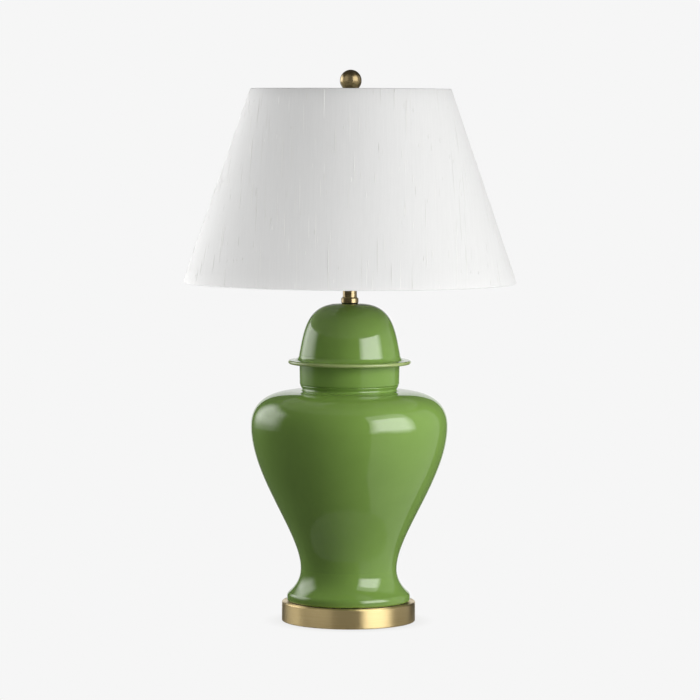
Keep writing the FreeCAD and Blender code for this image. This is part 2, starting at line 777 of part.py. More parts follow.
for label, side in (("harp_sleeve_left", -1), ("harp_sleeve_right", 1)):
    sleeve = turned_piece(label, [
        ("sleeve_bore", "harp_foot"),
        ("sleeve_bore + sleeve_wall", "harp_foot"),
        ("sleeve_bore + sleeve_wall", "harp_foot + sleeve_length - sleeve_round"),
        ("sleeve_bore + sleeve_wall - sleeve_round", "harp_foot + sleeve_length",
         "sleeve_round", LEFT),
        ("sleeve_bore", "harp_foot + sleeve_length"),
    ])
    sleeve.setExpression("Placement.Base.x", bound(f"{side} * sleeve_x"))

# ---------------------------------------------------------------------------
# Lamp holder: cap with its set screw, brass shell, insulating liner, core, threaded shell,
# spring contact, wire screws, and the rotary switch that points at the front.
# ---------------------------------------------------------------------------
cap = turned_piece("socket_cap", [
    ("rod_seat", "saddle_top"),
    ("hub_radius", "saddle_top"),
    ("hub_radius", "cap_floor"),
    (("hub_radius + cap_spread", "cap_floor"),
     ("cap_radius", "cap_floor + cap_corner"),
     ("cap_radius", "cap_turn")),
    ("cap_radius", "cap_top"),
    ("cap_radius - cap_wall", "cap_top"),
    ("cap_radius - cap_wall", "cap_turn"),
    (("cap_radius - cap_wall", "cap_floor + cap_corner + cap_wall"),
     ("hub_radius + cap_spread - cap_wall", "cap_floor + cap_wall"),
     ("hub_radius - cap_wall", "cap_floor + cap_wall")),
    ("rod_seat", "cap_floor + cap_wall"),
])
side_hole(cap, "set_screw_hole", "hub_middle", "set_screw_radius + fit_gap", "hub_radius + cut_margin")
set_screw = turned_piece("cap_screw", [
    ("0", "rod_radius + set_screw_gap"),
    ("set_screw_radius", "rod_radius + set_screw_gap"),
    ("set_screw_radius", "screw_seat"),
    ("set_screw_head_radius", "screw_seat"),
    ("set_screw_head_radius", "screw_end"),
    ("0", "screw_end"),
])
slot = new_sketch(set_screw, "slot_outline", "XZ_Plane")
draw(slot, tube_outline(
    "-set_screw_slot / 2", "set_screw_slot / 2", "screw_end - set_screw_slot", "screw_end + cut_margin"))
pocket(set_screw, "driver_slot", slot, "2 * (set_screw_head_radius + cut_margin)", symmetric=True)
lay_along_y(set_screw, "hub_middle", True)

shell = turned_piece("socket_shell", [
    ("shell_radius - shell_lip", "shell_bottom"),
    ("shell_radius", "shell_bottom"),
    ("shell_radius", "shell_top - shell_round"),
    ("shell_radius - shell_round", "shell_top", "shell_round", LEFT),
    ("liner_radius - liner_wall", "shell_top"),
    ("liner_radius - liner_wall", "shell_top - shell_wall"),
    ("shell_radius - shell_wall", "shell_top - shell_wall"),
    ("shell_radius - shell_wall", "core_bottom"),
    ("shell_radius - shell_lip", "core_bottom"),
])
stem_hole = "spindle_radius + stem_hole_clearance"
stem_cut = "shell_radius + cut_margin"
side_hole(shell, "shell_stem_hole", "spindle_level", stem_hole, stem_cut, False)
liner = turned_piece("shell_liner", tube_outline(
    "liner_radius - liner_wall", "liner_radius", "core_bottom", "liner_top"))
side_hole(liner, "liner_stem_hole", "spindle_level", stem_hole, stem_cut, False)

core = turned_piece("socket_body", [
    ("0", "core_bottom + core_hollow_depth"),
    ("core_hollow_radius", "core_bottom + core_hollow_depth"),
    ("core_hollow_radius", "core_bottom"),
    ("core_radius", "core_bottom"),
    ("core_radius", "core_top"),
    ("boss_radius", "core_top"),
    ("boss_radius", "boss_top"),
    ("0", "boss_top"),
])
for side, name in ((1, "right_flat"), (-1, "left_flat")):
    flat = new_sketch(core, name + "_outline", "XY_Plane", "core_bottom")
    draw(flat, [
        (f"{side} * core_flat", "-core_radius"),
        (f"{side} * (core_radius + cut_margin)", "-core_radius"),
        (f"{side} * (core_radius + cut_margin)", "core_radius"),
        (f"{side} * core_flat", "core_radius"),
    ])
    pocket(core, name, flat, "core_height - core_roof", reverse=True)
stem_bore = new_sketch(core, "stem_bore_circle", "XZ_Plane", "core_radius - spindle_bore_depth")
circle(stem_bore, ("0", "spindle_level"), "spindle_radius + spindle_clearance")
pocket(core, "stem_bore", stem_bore, "spindle_bore_depth + cut_margin", reverse=True)

turned_piece("screw_shell", [
    ("boss_radius + fit_gap", "core_top"),
    ("thread_radius", "core_top"),
    ("thread_radius", "core_top + thread_shell_height"),
    ("thread_radius - thread_shell_wall", "core_top + thread_shell_height"),
    ("thread_radius - thread_shell_wall", "core_top + thread_shell_wall"),
    ("boss_radius + fit_gap", "core_top + thread_shell_wall"),
])

contact = new_body("centre_contact")
leaf = new_sketch(contact, "leaf_outline", "XZ_Plane")
draw(leaf, [
    ("leaf_inset - boss_radius", "boss_top"),
    ("boss_radius - leaf_inset", "boss_top"),
    ("boss_radius - leaf_inset", "boss_top + contact_leaf"),
    ("leaf_inset + leaf_heel - boss_radius", "boss_top + contact_leaf"),
    ("leaf_inset + leaf_tip", "leaf_top"),
    ("leaf_inset", "leaf_top"),
    ("leaf_inset - boss_radius", "boss_top + 2 * contact_leaf"),
])
pad(contact, "leaf", leaf, "contact_width", symmetric=True)

# Two wire screws, one on each flat of the core.
screw_pair = []
for side in (1, -1):
    head = doc.addObject("Part::Cylinder", "screw_head")
    head.setExpression("Radius", bound("screw_radius"))
    head.setExpression("Height", bound("screw_head"))
    shank = doc.addObject("Part::Cylinder", "screw_shank")
    shank.setExpression("Radius", bound("screw_shank_radius"))
    shank.setExpression("Height", bound("screw_standoff"))
    driver = doc.addObject("Part::Box", "screw_slot")
    driver.setExpression("Length", bound("screw_slot_width"))
    driver.setExpression("Width", bound("2 * (screw_radius + cut_margin)"))
    driver.setExpression("Height", bound("screw_slot_depth + cut_margin"))
    driver.setExpression("Placement.Base.y", bound("-screw_radius - cut_margin"))
    shank_start = "core_flat + fit_gap"
    head_start = f"{shank_start} + screw_standoff"
    slot_start = f"{head_start} + screw_head - screw_slot_depth"
    slot_shift = f"{side} * screw_slot_width / 2"
    for item, reach, shift in (
        (shank, shank_start, "0"), (head, head_start, "0"), (driver, slot_start, slot_shift),
    ):
        item.Placement.Rotation = FreeCAD.Rotation(FreeCAD.Vector(0, 1, 0), side * 90)
        item.setExpression("Placement.Base.x", bound(f"{side} * ({reach})"))
        item.setExpression("Placement.Base.z", bound(f"core_bottom + screw_rise + {shift}"))
    screw = doc.addObject("Part::Fuse", "screw")
    screw.Base, screw.Tool = shank, head
    slotted = doc.addObject("Part::Cut", "slotted_screw")
    slotted.Base, slotted.Tool = screw, driver
    screw_pair.append(slotted)
screws = doc.addObject("Part::Compound", "terminal_screws")
screws.Label = "terminal_screws"
screws.Links = screw_pair

spindle = turned_piece("switch_spindle", tube_outline(
    "0", "spindle_radius", "core_radius - spindle_grip", "spindle_reach"))
lay_along_y(spindle, "spindle_level", False)

KNOB_FLUTES = 12
knob = turned_piece("switch_knob", [
    ("0", "spindle_reach"),
    ("spindle_radius + fit_gap", "spindle_reach"),
    ("spindle_radius + fit_gap", "knob_start"),
    ("knob_radius - knob_skirt_round", "knob_start"),
    ("knob_radius", "knob_start + knob_skirt_round", "knob_skirt_round", LEFT),
    ("knob_radius", "knob_end - knob_face_round"),
    ("knob_radius - knob_face_round", "knob_end", "knob_face_round", LEFT),
    ("0", "knob_end"),
])
flute = new_sketch(knob, "flute_circle", "XY_Plane", "knob_start - cut_margin")
circle(flute, ("knob_radius + flute_offset", "0"), "flute_radius")
flute_cut = pocket(knob, "flute", flute, "knob_length + 2 * cut_margin", reverse=True)
flutes = knob.newObject("PartDesign::PolarPattern", "flutes")
flutes.Originals = [flute_cut]
flutes.Axis = (flute, ["N_Axis"])
flutes.Angle = 360
flutes.Occurrences = KNOB_FLUTES
knob.Tip = flutes
lay_along_y(knob, "spindle_level", False)

# ---------------------------------------------------------------------------
# Bulb: a soft white globe on a screw cap.
# ---------------------------------------------------------------------------
bulb_foot = "lamp_cap_top + fit_gap"
turned_piece("bulb_glass", [
    ("bulb_neck - bulb_wall", bulb_foot),
    ("bulb_neck", bulb_foot),
    (("bulb_neck + bulb_neck_spread", f"{bulb_foot} + bulb_neck_pull"),
     ("bulb_radius", "bulb_centre - bulb_globe_pull"),
     ("bulb_radius", "bulb_centre")),
    ("0", "bulb_top", "bulb_radius", LEFT),
    ("0", "bulb_top - bulb_wall"),
    ("bulb_radius - bulb_wall", "bulb_centre", "bulb_radius - bulb_wall", RIGHT),
    (("bulb_radius - bulb_wall", "bulb_centre - bulb_globe_pull"),
     ("bulb_neck + bulb_neck_spread - bulb_wall", f"{bulb_foot} + bulb_neck_pull"),
     ("bulb_neck - bulb_wall", f"{bulb_foot} + bulb_wall")),
])
turned_piece("bulb_cap", [
    ("insulator_radius + fit_gap", "insulator_bottom"),
    ("insulator_radius + insulator_margin / 2", "insulator_bottom"),
    ("lamp_cap_radius", "lamp_cap_bottom + lamp_cap_taper"),
    ("lamp_cap_radius", "lamp_cap_top"),
    ("lamp_cap_radius - lamp_cap_wall", "lamp_cap_top"),
    ("lamp_cap_radius - lamp_cap_wall", "lamp_cap_bottom + lamp_cap_taper + lamp_cap_wall"),
    ("insulator_radius + fit_gap", "lamp_cap_bottom"),
])
turned_piece("bulb_insulator", [
    ("0", "bulb_bottom + button_height + fit_gap"),
    ("button_radius + insulator_edge", "bulb_bottom + button_height + fit_gap"),
    ("insulator_radius", "insulator_bottom"),
    ("insulator_radius", "lamp_cap_bottom + insulator_seat"),
    ("0", "lamp_cap_bottom + insulator_seat"),
])
turned_piece("bulb_contact", [
    ("0", "bulb_bottom"),
    ("button_radius - button_edge", "bulb_bottom"),
    ("button_radius", "bulb_bottom + button_height"),
    ("0", "bulb_bottom + button_height"),
])

# ---------------------------------------------------------------------------
# Shade: fabric glued to a stiff liner between two wire rings, hung from the stud by a spider.
# ---------------------------------------------------------------------------


def cone_outline(outside, wall, inset):
    """A conical wall that lies outside (a distance) within the shade's face, inset at each rim."""
    bottom, top = f"(shade_bottom + {inset})", f"(shade_top - {inset})"
    low = f"shade_bottom_radius - {inset} * shade_slope - ({outside})"
    high = f"shade_top_radius + {inset} * shade_slope - ({outside})"
    return [(f"{low} - {wall}", bottom), (low, bottom), (high, top), (f"{high} - {wall}", top)]


turned_piece("shade_fabric", cone_outline("0", "fabric_thickness", "0"))
turned_piece("shade_liner", cone_outline("liner_outside", "liner_thickness", "liner_inset"))

for label, radius, level in (
    ("shade_top_ring", "top_ring_radius", "top_ring_level"),
    ("shade_bottom_ring", "bottom_ring_radius", "bottom_ring_level"),
):
    wire = doc.addObject("Part::Torus", label)
    wire.Label = label
    wire.setExpression("Radius1", bound(radius))
    wire.setExpression("Radius2", bound("ring_wire"))
    wire.setExpression("Placement.Base.z", bound(level))

SPOKES = 3
spider = new_body("shade_spider")
hub = new_sketch(spider, "hub_circle", "XY_Plane", "harp_seat")
circle(hub, ("0", "0"), "hub_washer_radius")
circle(hub, ("0", "0"), "stud_radius + stud_clearance")
pad(spider, "hub", hub, "hub_washer_thickness")
spoke_path = new_sketch(spider, "spoke_path", "XZ_Plane")
draw(spoke_path, [
    ("top_ring_radius", "spoke_top"),
    ("top_ring_radius - spoke_bend", "spoke_level", "spoke_bend", RIGHT),
    ("finial_base_radius + spoke_gap", "spoke_level"),
], closed=False)
spoke_section = new_sketch(spider, "spoke_section", "XY_Plane", "spoke_top")
circle(spoke_section, ("top_ring_radius", "0"), "spoke_radius")
spoke = spider.newObject("PartDesign::AdditivePipe", "spoke")
spoke.Profile = spoke_section
spoke.Spine = (spoke_path, [])
doc.recompute()
spokes = spider.newObject("PartDesign::PolarPattern", "spokes")
spokes.Originals = [spoke]
spokes.Axis = (hub, ["N_Axis"])
spokes.Angle = 360
spokes.Occurrences = SPOKES
spider.Tip = spokes
spider.Placement.Rotation = FreeCAD.Rotation(FreeCAD.Vector(0, 0, 1), 90)

# Finial: a turned brass ball on a short neck, bored for the stud.
turned_piece("finial", [
    ("0", "stud_top + finial_room"),
    ("finial_bore", "stud_top + finial_room"),
    ("finial_bore", "finial_bottom"),
    ("finial_base_radius", "finial_bottom"),
    ("finial_base_radius", "finial_base_top - finial_round"),
    ("finial_base_radius - finial_round", "finial_base_top", "finial_round", LEFT),
    ("finial_neck_radius", "finial_base_top + finial_cove", "finial_cove_radius", RIGHT),
    ("finial_neck_radius", "ball_bottom"),
    ("ball_radius", "ball_centre", "ball_radius", LEFT),
    ("0", "finial_top", "ball_radius", LEFT),
])

# ---------------------------------------------------------------------------
# Check every object, then write one file for each piece.
# ---------------------------------------------------------------------------
doc.recompute()
for item in doc.Objects:
    if "Invalid" in item.State or "Error" in item.State:
        raise RuntimeError(f"{item.Name} failed: {item.State}")

PIECE_TYPES = ("PartDesign::Body", "Part::Torus", "Part::Compound")
pieces = [item for item in doc.Objects if item.TypeId in PIECE_TYPES]
os.makedirs("parts", exist_ok=True)
for piece in pieces:
    if piece.Shape.isNull() or not piece.Shape.isValid() or piece.Shape.Volume <= 0:
        raise RuntimeError(f"{piece.Label} has no valid shape")
for piece in pieces:
    piece.Shape.exportStep(f"parts/{piece.Label}.step")
    corners = piece.Shape.BoundBox
    print(f"{piece.Label}: z {corners.ZMin:.1f} to {corners.ZMax:.1f}, volume {piece.Shape.Volume:.0f}")
print(len(pieces), "pieces")
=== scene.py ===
import math

import bpy
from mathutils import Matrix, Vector


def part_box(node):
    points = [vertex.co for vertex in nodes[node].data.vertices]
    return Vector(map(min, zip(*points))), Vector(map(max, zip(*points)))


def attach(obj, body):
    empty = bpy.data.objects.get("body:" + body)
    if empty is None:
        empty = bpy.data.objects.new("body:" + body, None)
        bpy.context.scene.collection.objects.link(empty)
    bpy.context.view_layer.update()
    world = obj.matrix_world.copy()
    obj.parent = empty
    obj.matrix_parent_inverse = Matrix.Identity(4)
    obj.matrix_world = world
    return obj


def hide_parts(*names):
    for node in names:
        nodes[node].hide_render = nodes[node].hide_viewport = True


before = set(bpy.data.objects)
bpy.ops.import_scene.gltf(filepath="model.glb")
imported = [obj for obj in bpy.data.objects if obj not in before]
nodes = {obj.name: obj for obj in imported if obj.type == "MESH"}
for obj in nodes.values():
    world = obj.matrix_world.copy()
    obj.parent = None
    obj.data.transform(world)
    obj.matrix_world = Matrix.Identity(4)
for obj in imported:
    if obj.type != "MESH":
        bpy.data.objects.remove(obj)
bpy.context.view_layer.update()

scene = bpy.context.scene
scene.view_settings.view_transform = "Standard"
MM = 0.001

# ---------------------------------------------------------------------------
# Camera and studio. A long lens looks slightly down at the lamp, which stands on a pale floor
# between soft panels on its right and on its left, in front of a white wall.
# ---------------------------------------------------------------------------
CAMERA_DISTANCE = 4.8216
CAMERA_HEIGHT = 0.7056
CAMERA_SIDE = 0.00055
CAMERA_DIP = 3.91
CAMERA_ROLL = 0.25
LENS = 180
FAR_CLIP = 60

lens = bpy.data.cameras.new("camera")
lens.lens = LENS
lens.clip_end = FAR_CLIP
camera = bpy.data.objects.new("camera", lens)
camera.location = (CAMERA_SIDE, -CAMERA_DISTANCE, CAMERA_HEIGHT)
camera.rotation_mode = "ZXY"
camera.rotation_euler = (math.radians(90 - CAMERA_DIP), 0, math.radians(CAMERA_ROLL))
scene.collection.objects.link(camera)
scene.camera = camera


def colour(code):
    """The linear colour of an sRGB code such as #f6f6f6."""
    parts = [int(code[place:place + 2], 16) / 255 for place in (1, 3, 5)]
    return [part / 12.92 if part <= 0.04045 else ((part + 0.055) / 1.055) ** 2.4 for part in parts] + [1]


def node(tree, kind, settings=None, **inputs):
    """Adds a node. An input is named, or numbered as _0, and its value is set, or linked where the
    value is another node's socket."""
    made = tree.nodes.new(kind)
    for name, value in (settings or {}).items():
        setattr(made, name, value)
    for name, value in inputs.items():
        key = int(name[1:]) if name[0] == "_" else name.replace("_", " ")
        if isinstance(value, bpy.types.NodeSocket):
            tree.links.new(value, made.inputs[key])
        else:
            made.inputs[key].default_value = value
    return made


# The camera and clear glass see white all round. Gloss sees it only straight behind the lamp,
# past WALL_EDGE, and a dim room elsewhere. Matt surfaces get a little light from below and
# from the wall, whose light grows between the two bounds of BEHIND.
BACKGROUND = "#f6f6f6"
WALL_EDGE = 0.95
ROOM_MIRRORED = 0.07
ROOM_BELOW = 0.24
ROOM_BEHIND = 0.4
BEHIND = (0.3, 0.8)
world = bpy.data.worlds.new("studio")
world.use_nodes = True
tree = world.node_tree
tree.nodes.clear()
ray = node(tree, "ShaderNodeLightPath")
seen = node(tree, "ShaderNodeMath", {"operation": "MAXIMUM"},
            _0=ray.outputs["Is Camera Ray"], _1=ray.outputs["Is Transmission Ray"]).outputs[0]
towards = node(tree, "ShaderNodeSeparateXYZ", Vector=node(tree, "ShaderNodeTexCoord").outputs["Generated"])
wall = node(tree, "ShaderNodeMath", {"operation": "GREATER_THAN"},
            _0=towards.outputs["Y"], _1=WALL_EDGE).outputs[0]
mirrored = node(tree, "ShaderNodeMath", {"operation": "MULTIPLY"},
                _0=ray.outputs["Is Glossy Ray"], _1=wall).outputs[0]
seen = node(tree, "ShaderNodeMath", {"operation": "MAXIMUM"}, _0=seen, _1=mirrored).outputs[0]
under = node(tree, "ShaderNodeMath", {"operation": "LESS_THAN"}, _0=towards.outputs["Z"], _1=0.0).outputs[0]
under = node(tree, "ShaderNodeMath", {"operation": "MULTIPLY"}, _0=under, _1=ROOM_BELOW).outputs[0]
behind = node(tree, "ShaderNodeMapRange", Value=towards.outputs["Y"],
              From_Min=BEHIND[0], From_Max=BEHIND[1], To_Max=ROOM_BEHIND).outputs[0]
dim = node(tree, "ShaderNodeMath", {"operation": "MAXIMUM"}, _0=under, _1=behind).outputs[0]
dim = node(tree, "ShaderNodeMix", {"data_type": "FLOAT"},
           _0=ray.outputs["Is Glossy Ray"], _2=dim, _3=ROOM_MIRRORED).outputs[0]
room = node(tree, "ShaderNodeBackground", Color=(1, 1, 1, 1), Strength=dim)
white = node(tree, "ShaderNodeBackground", Color=colour(BACKGROUND), Strength=1)
mixed = node(tree, "ShaderNodeMixShader", _0=seen, _1=room.outputs[0], _2=white.outputs[0])
node(tree, "ShaderNodeOutputWorld", Surface=mixed.outputs[0])
scene.world = world


def panel(name, azimuth, low, high, width, distance, strength, soft, fade):
    """A lit panel that faces the lamp, azimuth degrees to the right of the camera, from low to high.
    Its light falls off over the outer shares soft of its width and fade of its height, as that of a
    scrim lit from behind does."""
    lamp = bpy.data.lights.new(name, "AREA")
    lamp.shape = "RECTANGLE"
    lamp.size, lamp.size_y = width, high - low
    lamp.energy = strength * math.pi * width * (high - low)
    lamp.use_nodes = True
    tree = lamp.node_tree
    tree.nodes.clear()
    across = node(tree, "ShaderNodeSeparateXYZ",
                  Vector=node(tree, "ShaderNodeNewGeometry").outputs["Parametric"])
    level = 1.0
    for axis, share in (("X", soft), ("Y", fade)):
        middle = node(tree, "ShaderNodeMath", {"operation": "SUBTRACT"},
                      _0=across.outputs[axis], _1=0.5).outputs[0]
        edge = node(tree, "ShaderNodeMath", {"operation": "ABSOLUTE"}, _0=middle).outputs[0]
        fall = node(tree, "ShaderNodeMapRange", {"interpolation_type": "SMOOTHSTEP"},
                    Value=edge, From_Min=0.5 - share, From_Max=0.5, To_Min=1.0, To_Max=0.0).outputs[0]
        level = node(tree, "ShaderNodeMath", {"operation": "MULTIPLY"}, _0=fall, _1=level).outputs[0]
    glow = node(tree, "ShaderNodeEmission", Strength=level)
    node(tree, "ShaderNodeOutputLight", Surface=glow.outputs[0])
    made = bpy.data.objects.new(name, lamp)
    turn = math.radians(azimuth)
    made.location = (distance * math.sin(turn), -distance * math.cos(turn), (low + high) / 2)
    made.rotation_euler = (math.radians(90), 0, turn)
    made.visible_camera = False
    scene.collection.objects.link(made)
    return made


# The keys light everything. The scrim and the gleams leave out the shade, which is white, and
# the right gleam leaves out the finial too. The left gleam shows in no reflection.
right_scrim = panel("right_scrim", azimuth=77, low=-2.4, high=1.9, width=3.8, distance=1.5,
                    strength=0.42, soft=0.02, fade=0.05)
panel("right_key", azimuth=52, low=0.2, high=2.3, width=1.72, distance=1.5,
      strength=1.56, soft=0.02, fade=0.08)
panel("left_key", azimuth=-116, low=0.05, high=1.6, width=2.0, distance=1.4,
      strength=2.55, soft=0.35, fade=0.35)
right_gleam = panel("right_gleam", azimuth=52, low=0.2, high=1.5, width=1.72, distance=1.53,
                    strength=3.9, soft=0.25, fade=0.15)
left_gleam = panel("left_gleam", azimuth=-118, low=-0.2, high=1.4, width=2.0, distance=1.43,
                   strength=2.0, soft=0.35, fade=0.25)
left_gleam.visible_glossy = False

# The boards stand close in front, for the base and the finial alone to mirror.
front_board = panel("front_board", azimuth=-30, low=-0.6, high=3.6, width=3.2, distance=1.55,
                    strength=0.2, soft=0.02, fade=0.05)
left_board = panel("left_board", azimuth=-56, low=-0.6, high=2.2, width=1.75, distance=1.57,
                   strength=0.38, soft=0.1, fade=0.05)
right_board = panel("right_board", azimuth=53, low=-0.6, high=2.2, width=1.8, distance=1.59,
                    strength=0.12, soft=0.02, fade=0.05)

# The fills are for the shade alone: the light that a wide pale floor and the room would send
# back at it from the front, from the right and from the left, a little behind.
fills = [panel("fill_%d" % azimuth, azimuth, low=-0.45, high=0.75, width=3.6, distance=1.8,
               strength=strength, soft=0.02, fade=0.1)
         for azimuth, strength in ((0, 2.0), (90, 1.7), (255, 2.75))]

# The camera sees the floor as flat as the wall, apart from a faint shade where the base meets
# it. Light falls back from a ring of it round the base, and from below it is open.
FLOOR_HALF = 20
FLOOR_GAP = 0.1 * MM
STAND_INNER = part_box("base_pan")[1].x
STAND_RADIUS = 0.2
STAND_SHADE = "#a0a0a0"
CONTACT_REACH = 0.03
CONTACT_SHADE = "#e0e0de"
floor_mesh = bpy.data.meshes.new("floor")
floor_mesh.from_pydata(
    [(x * FLOOR_HALF, y * FLOOR_HALF, -FLOOR_GAP) for x, y in ((-1, -1), (1, -1), (1, 1), (-1, 1))],
    [], [(0, 1, 2, 3)])
floor = bpy.data.objects.new("floor", floor_mesh)
scene.collection.objects.link(floor)
floor_paint = bpy.data.materials.new("pale_floor_paint")
floor_paint.use_nodes = True
tree = floor_paint.node_tree
tree.nodes.clear()
seen = node(tree, "ShaderNodeLightPath").outputs["Is Camera Ray"]
plane = node(tree, "ShaderNodeNewGeometry")
reach = node(tree, "ShaderNodeVectorMath", {"operation": "LENGTH"},
             _0=plane.outputs["Position"]).outputs["Value"]
around = node(tree, "ShaderNodeMath", {"operation": "COMPARE"}, _0=reach,
              _1=(STAND_RADIUS + STAND_INNER) / 2, _2=(STAND_RADIUS - STAND_INNER) / 2).outputs[0]
lit = node(tree, "ShaderNodeBsdfDiffuse", Color=colour(STAND_SHADE))
gone = node(tree, "ShaderNodeBsdfTransparent")
stand = node(tree, "ShaderNodeMixShader", _0=around, _1=gone.outputs[0], _2=lit.outputs[0])
near = node(tree, "ShaderNodeAmbientOcclusion", {"samples": 8}, Distance=CONTACT_REACH).outputs["AO"]
shade = node(tree, "ShaderNodeMix", {"data_type": "RGBA"},
             _0=near, _6=colour(CONTACT_SHADE), _7=colour(BACKGROUND)).outputs[2]
flat = node(tree, "ShaderNodeEmission", Color=shade, Strength=1)
mixed = node(tree, "ShaderNodeMixShader", _0=seen, _1=stand.outputs[0], _2=flat.outputs[0])
open_below = node(tree, "ShaderNodeMixShader",
                  _0=plane.outputs["Backfacing"], _1=mixed.outputs[0], _2=gone.outputs[0])
node(tree, "ShaderNodeOutputMaterial", Surface=open_below.outputs[0])
floor_mesh.materials.append(floor_paint)

# ---------------------------------------------------------------------------
# Base. A pan spun from brass sheet and brushed on the lathe. Fibreboard closes it from below,
# felt is glued under that, and a nylon bushing lines the cord's inlet at the back.
# ---------------------------------------------------------------------------


def new_material(name, **constants):
    """A material with the constants set on its own surface. Returns it, its tree and the surface."""
    made = bpy.data.materials.new(name)
    made.use_nodes = True
    surface = made.node_tree.nodes["Principled BSDF"]
    for key, value in constants.items():
        surface.inputs[key.replace("_", " ")].default_value = value
    return made, made.node_tree, surface


def dress(material, *names):
    """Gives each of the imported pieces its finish."""
    for name in names:
        mesh = nodes[name].data
        mesh.materials.clear()
        mesh.materials.append(material)


def from_axis(tree, place):
    """A place's level offset from the lamp's axis, and the length of that offset."""
    flat = node(tree, "ShaderNodeVectorMath", {"operation": "MULTIPLY"}, _0=place, _1=(1, 1, 0)).outputs[0]
    return flat, node(tree, "ShaderNodeVectorMath", {"operation": "LENGTH"}, _0=flat).outputs["Value"]


def turned_grain(tree, groove, length):
    """Fine grooves round the lamp's axis, as wide as groove and about as long as length (an angle)."""
    place = node(tree, "ShaderNodeTexCoord").outputs["Object"]
    flat, radius = from_axis(tree, place)
    around = node(tree, "ShaderNodeVectorMath", {"operation": "NORMALIZE"}, _0=flat).outputs[0]
    height = node(tree, "ShaderNodeVectorMath", {"operation": "MULTIPLY"},
                  _0=place, _1=(0, 0, 1 / groove)).outputs[0]
    vector = node(tree, "ShaderNodeVectorMath", {"operation": "MULTIPLY_ADD"},
                  _0=around, _1=(1 / length,) * 3, _2=height).outputs[0]
    depth = node(tree, "ShaderNodeMath", {"operation": "MULTIPLY"}, _0=radius, _1=1 / groove).outputs[0]
    return node(tree, "ShaderNodeTexNoise", {"noise_dimensions": "4D"},
                Vector=vector, W=depth, Scale=1, Detail=3, Roughness=0.6).outputs["Fac"]


GROOVE_TURN = 0.5
GROOVE_DEPTH = 0.03 * MM
LACQUER_ROUGHNESS = 0.12


def brass(name, dark, light, roughness, swing, groove, anisotropy, lacquer):
    """Turned brass: the grooves' floors are painted darker, as the shade in them, and are rougher than their
    lands, the shine is drawn out across them, and a share of lacquer adds a colourless gleam."""
    made, tree, surface = new_material(name, Metallic=1.0, Anisotropic=anisotropy, Anisotropic_Rotation=0.25,
                                       Coat_Weight=lacquer, Coat_Roughness=LACQUER_ROUGHNESS)
    grain = turned_grain(tree, groove, GROOVE_TURN)
    drawn = node(tree, "ShaderNodeTangent", {"direction_type": "RADIAL", "axis": "Z"})
    tree.links.new(drawn.outputs[0], surface.inputs["Tangent"])
    # The grooves' floors take the dark colour: painted shade in the grooves.
    tint = node(tree, "ShaderNodeMix", {"data_type": "RGBA"}, _0=grain, _6=colour(dark), _7=colour(light))
    tree.links.new(tint.outputs[2], surface.inputs["Base Color"])
    gloss = node(tree, "ShaderNodeMapRange", Value=grain, From_Min=0.3, From_Max=0.7,
                 To_Min=roughness + swing, To_Max=roughness - swing)
    tree.links.new(gloss.outputs[0], surface.inputs["Roughness"])
    relief = node(tree, "ShaderNodeBump", Strength=0.25, Distance=GROOVE_DEPTH, Height=grain)
    tree.links.new(relief.outputs[0], surface.inputs["Normal"])
    return made


# Brushing leaves a warm, satin metal on which each light stands as a tall soft band. The real
# grooves are about 0.1 mm wide; they are drawn coarser so that they show.
BRUSH_GROOVE = 0.35 * MM
spun_brass = brass("brushed_spun_brass", "#d8bc80", "#f2deaa", roughness=0.40, swing=0.04,
                   groove=BRUSH_GROOVE, anisotropy=0.97, lacquer=0.0)
dress(spun_brass, "base_pan")


def fibrous(name, dark, light, fibre, roughness, lift):
    """A pressed fibre surface: short tangled fibres that show as fine mottling and a soft relief."""
    made, tree, surface = new_material(name, Roughness=roughness, Specular_IOR_Level=0.2)
    place = node(tree, "ShaderNodeTexCoord").outputs["Object"]
    fine = node(tree, "ShaderNodeTexNoise", Vector=place, Scale=1 / fibre, Detail=4, Distortion=1.5)
    broad = node(tree, "ShaderNodeTexNoise", Vector=place, Scale=0.12 / fibre, Detail=2)
    both = node(tree, "ShaderNodeMath", {"operation": "MULTIPLY_ADD"},
                _0=broad.outputs["Fac"], _1=0.5, _2=fine.outputs["Fac"]).outputs[0]
    spread = node(tree, "ShaderNodeMapRange", Value=both, From_Min=0.45, From_Max=1.05).outputs[0]
    tint = node(tree, "ShaderNodeMix", {"data_type": "RGBA"}, _0=spread, _6=colour(dark), _7=colour(light))
    tree.links.new(tint.outputs[2], surface.inputs["Base Color"])
    relief = node(tree, "ShaderNodeBump", Strength=0.6, Distance=lift, Height=fine.outputs["Fac"])
    tree.links.new(relief.outputs[0], surface.inputs["Normal"])
    return made


# Felt is quite matt and soft, with fibres that stand up; fibreboard is flatter and brown.
felt = fibrous("pressed_wool_felt", "#1d2a1e", "#3a4a38", fibre=0.9 * MM, roughness=0.95, lift=0.4 * MM)
fibreboard = fibrous("pressed_fibreboard", "#7a6248", "#a98d6a",
                     fibre=0.7 * MM, roughness=0.85, lift=0.1 * MM)
dress(felt, "felt_pad")
dress(fibreboard, "base_cover")


def moulded(name, dark, light, roughness, grain):
    """A moulded plastic or rubber surface with a fine, even grain from its mould."""
    made, tree, surface = new_material(name, Roughness=roughness)
    place = node(tree, "ShaderNodeTexCoord").outputs["Object"]
    spark = node(tree, "ShaderNodeTexNoise", Vector=place, Scale=1 / grain, Detail=3)
    tint = node(tree, "ShaderNodeMix", {"data_type": "RGBA"},
                _0=spark.outputs["Fac"], _6=colour(dark), _7=colour(light))
    tree.links.new(tint.outputs[2], surface.inputs["Base Color"])
    relief = node(tree, "ShaderNodeBump", Strength=0.3, Distance=0.02 * MM, Height=spark.outputs["Fac"])
    tree.links.new(relief.outputs[0], surface.inputs["Normal"])
    return made
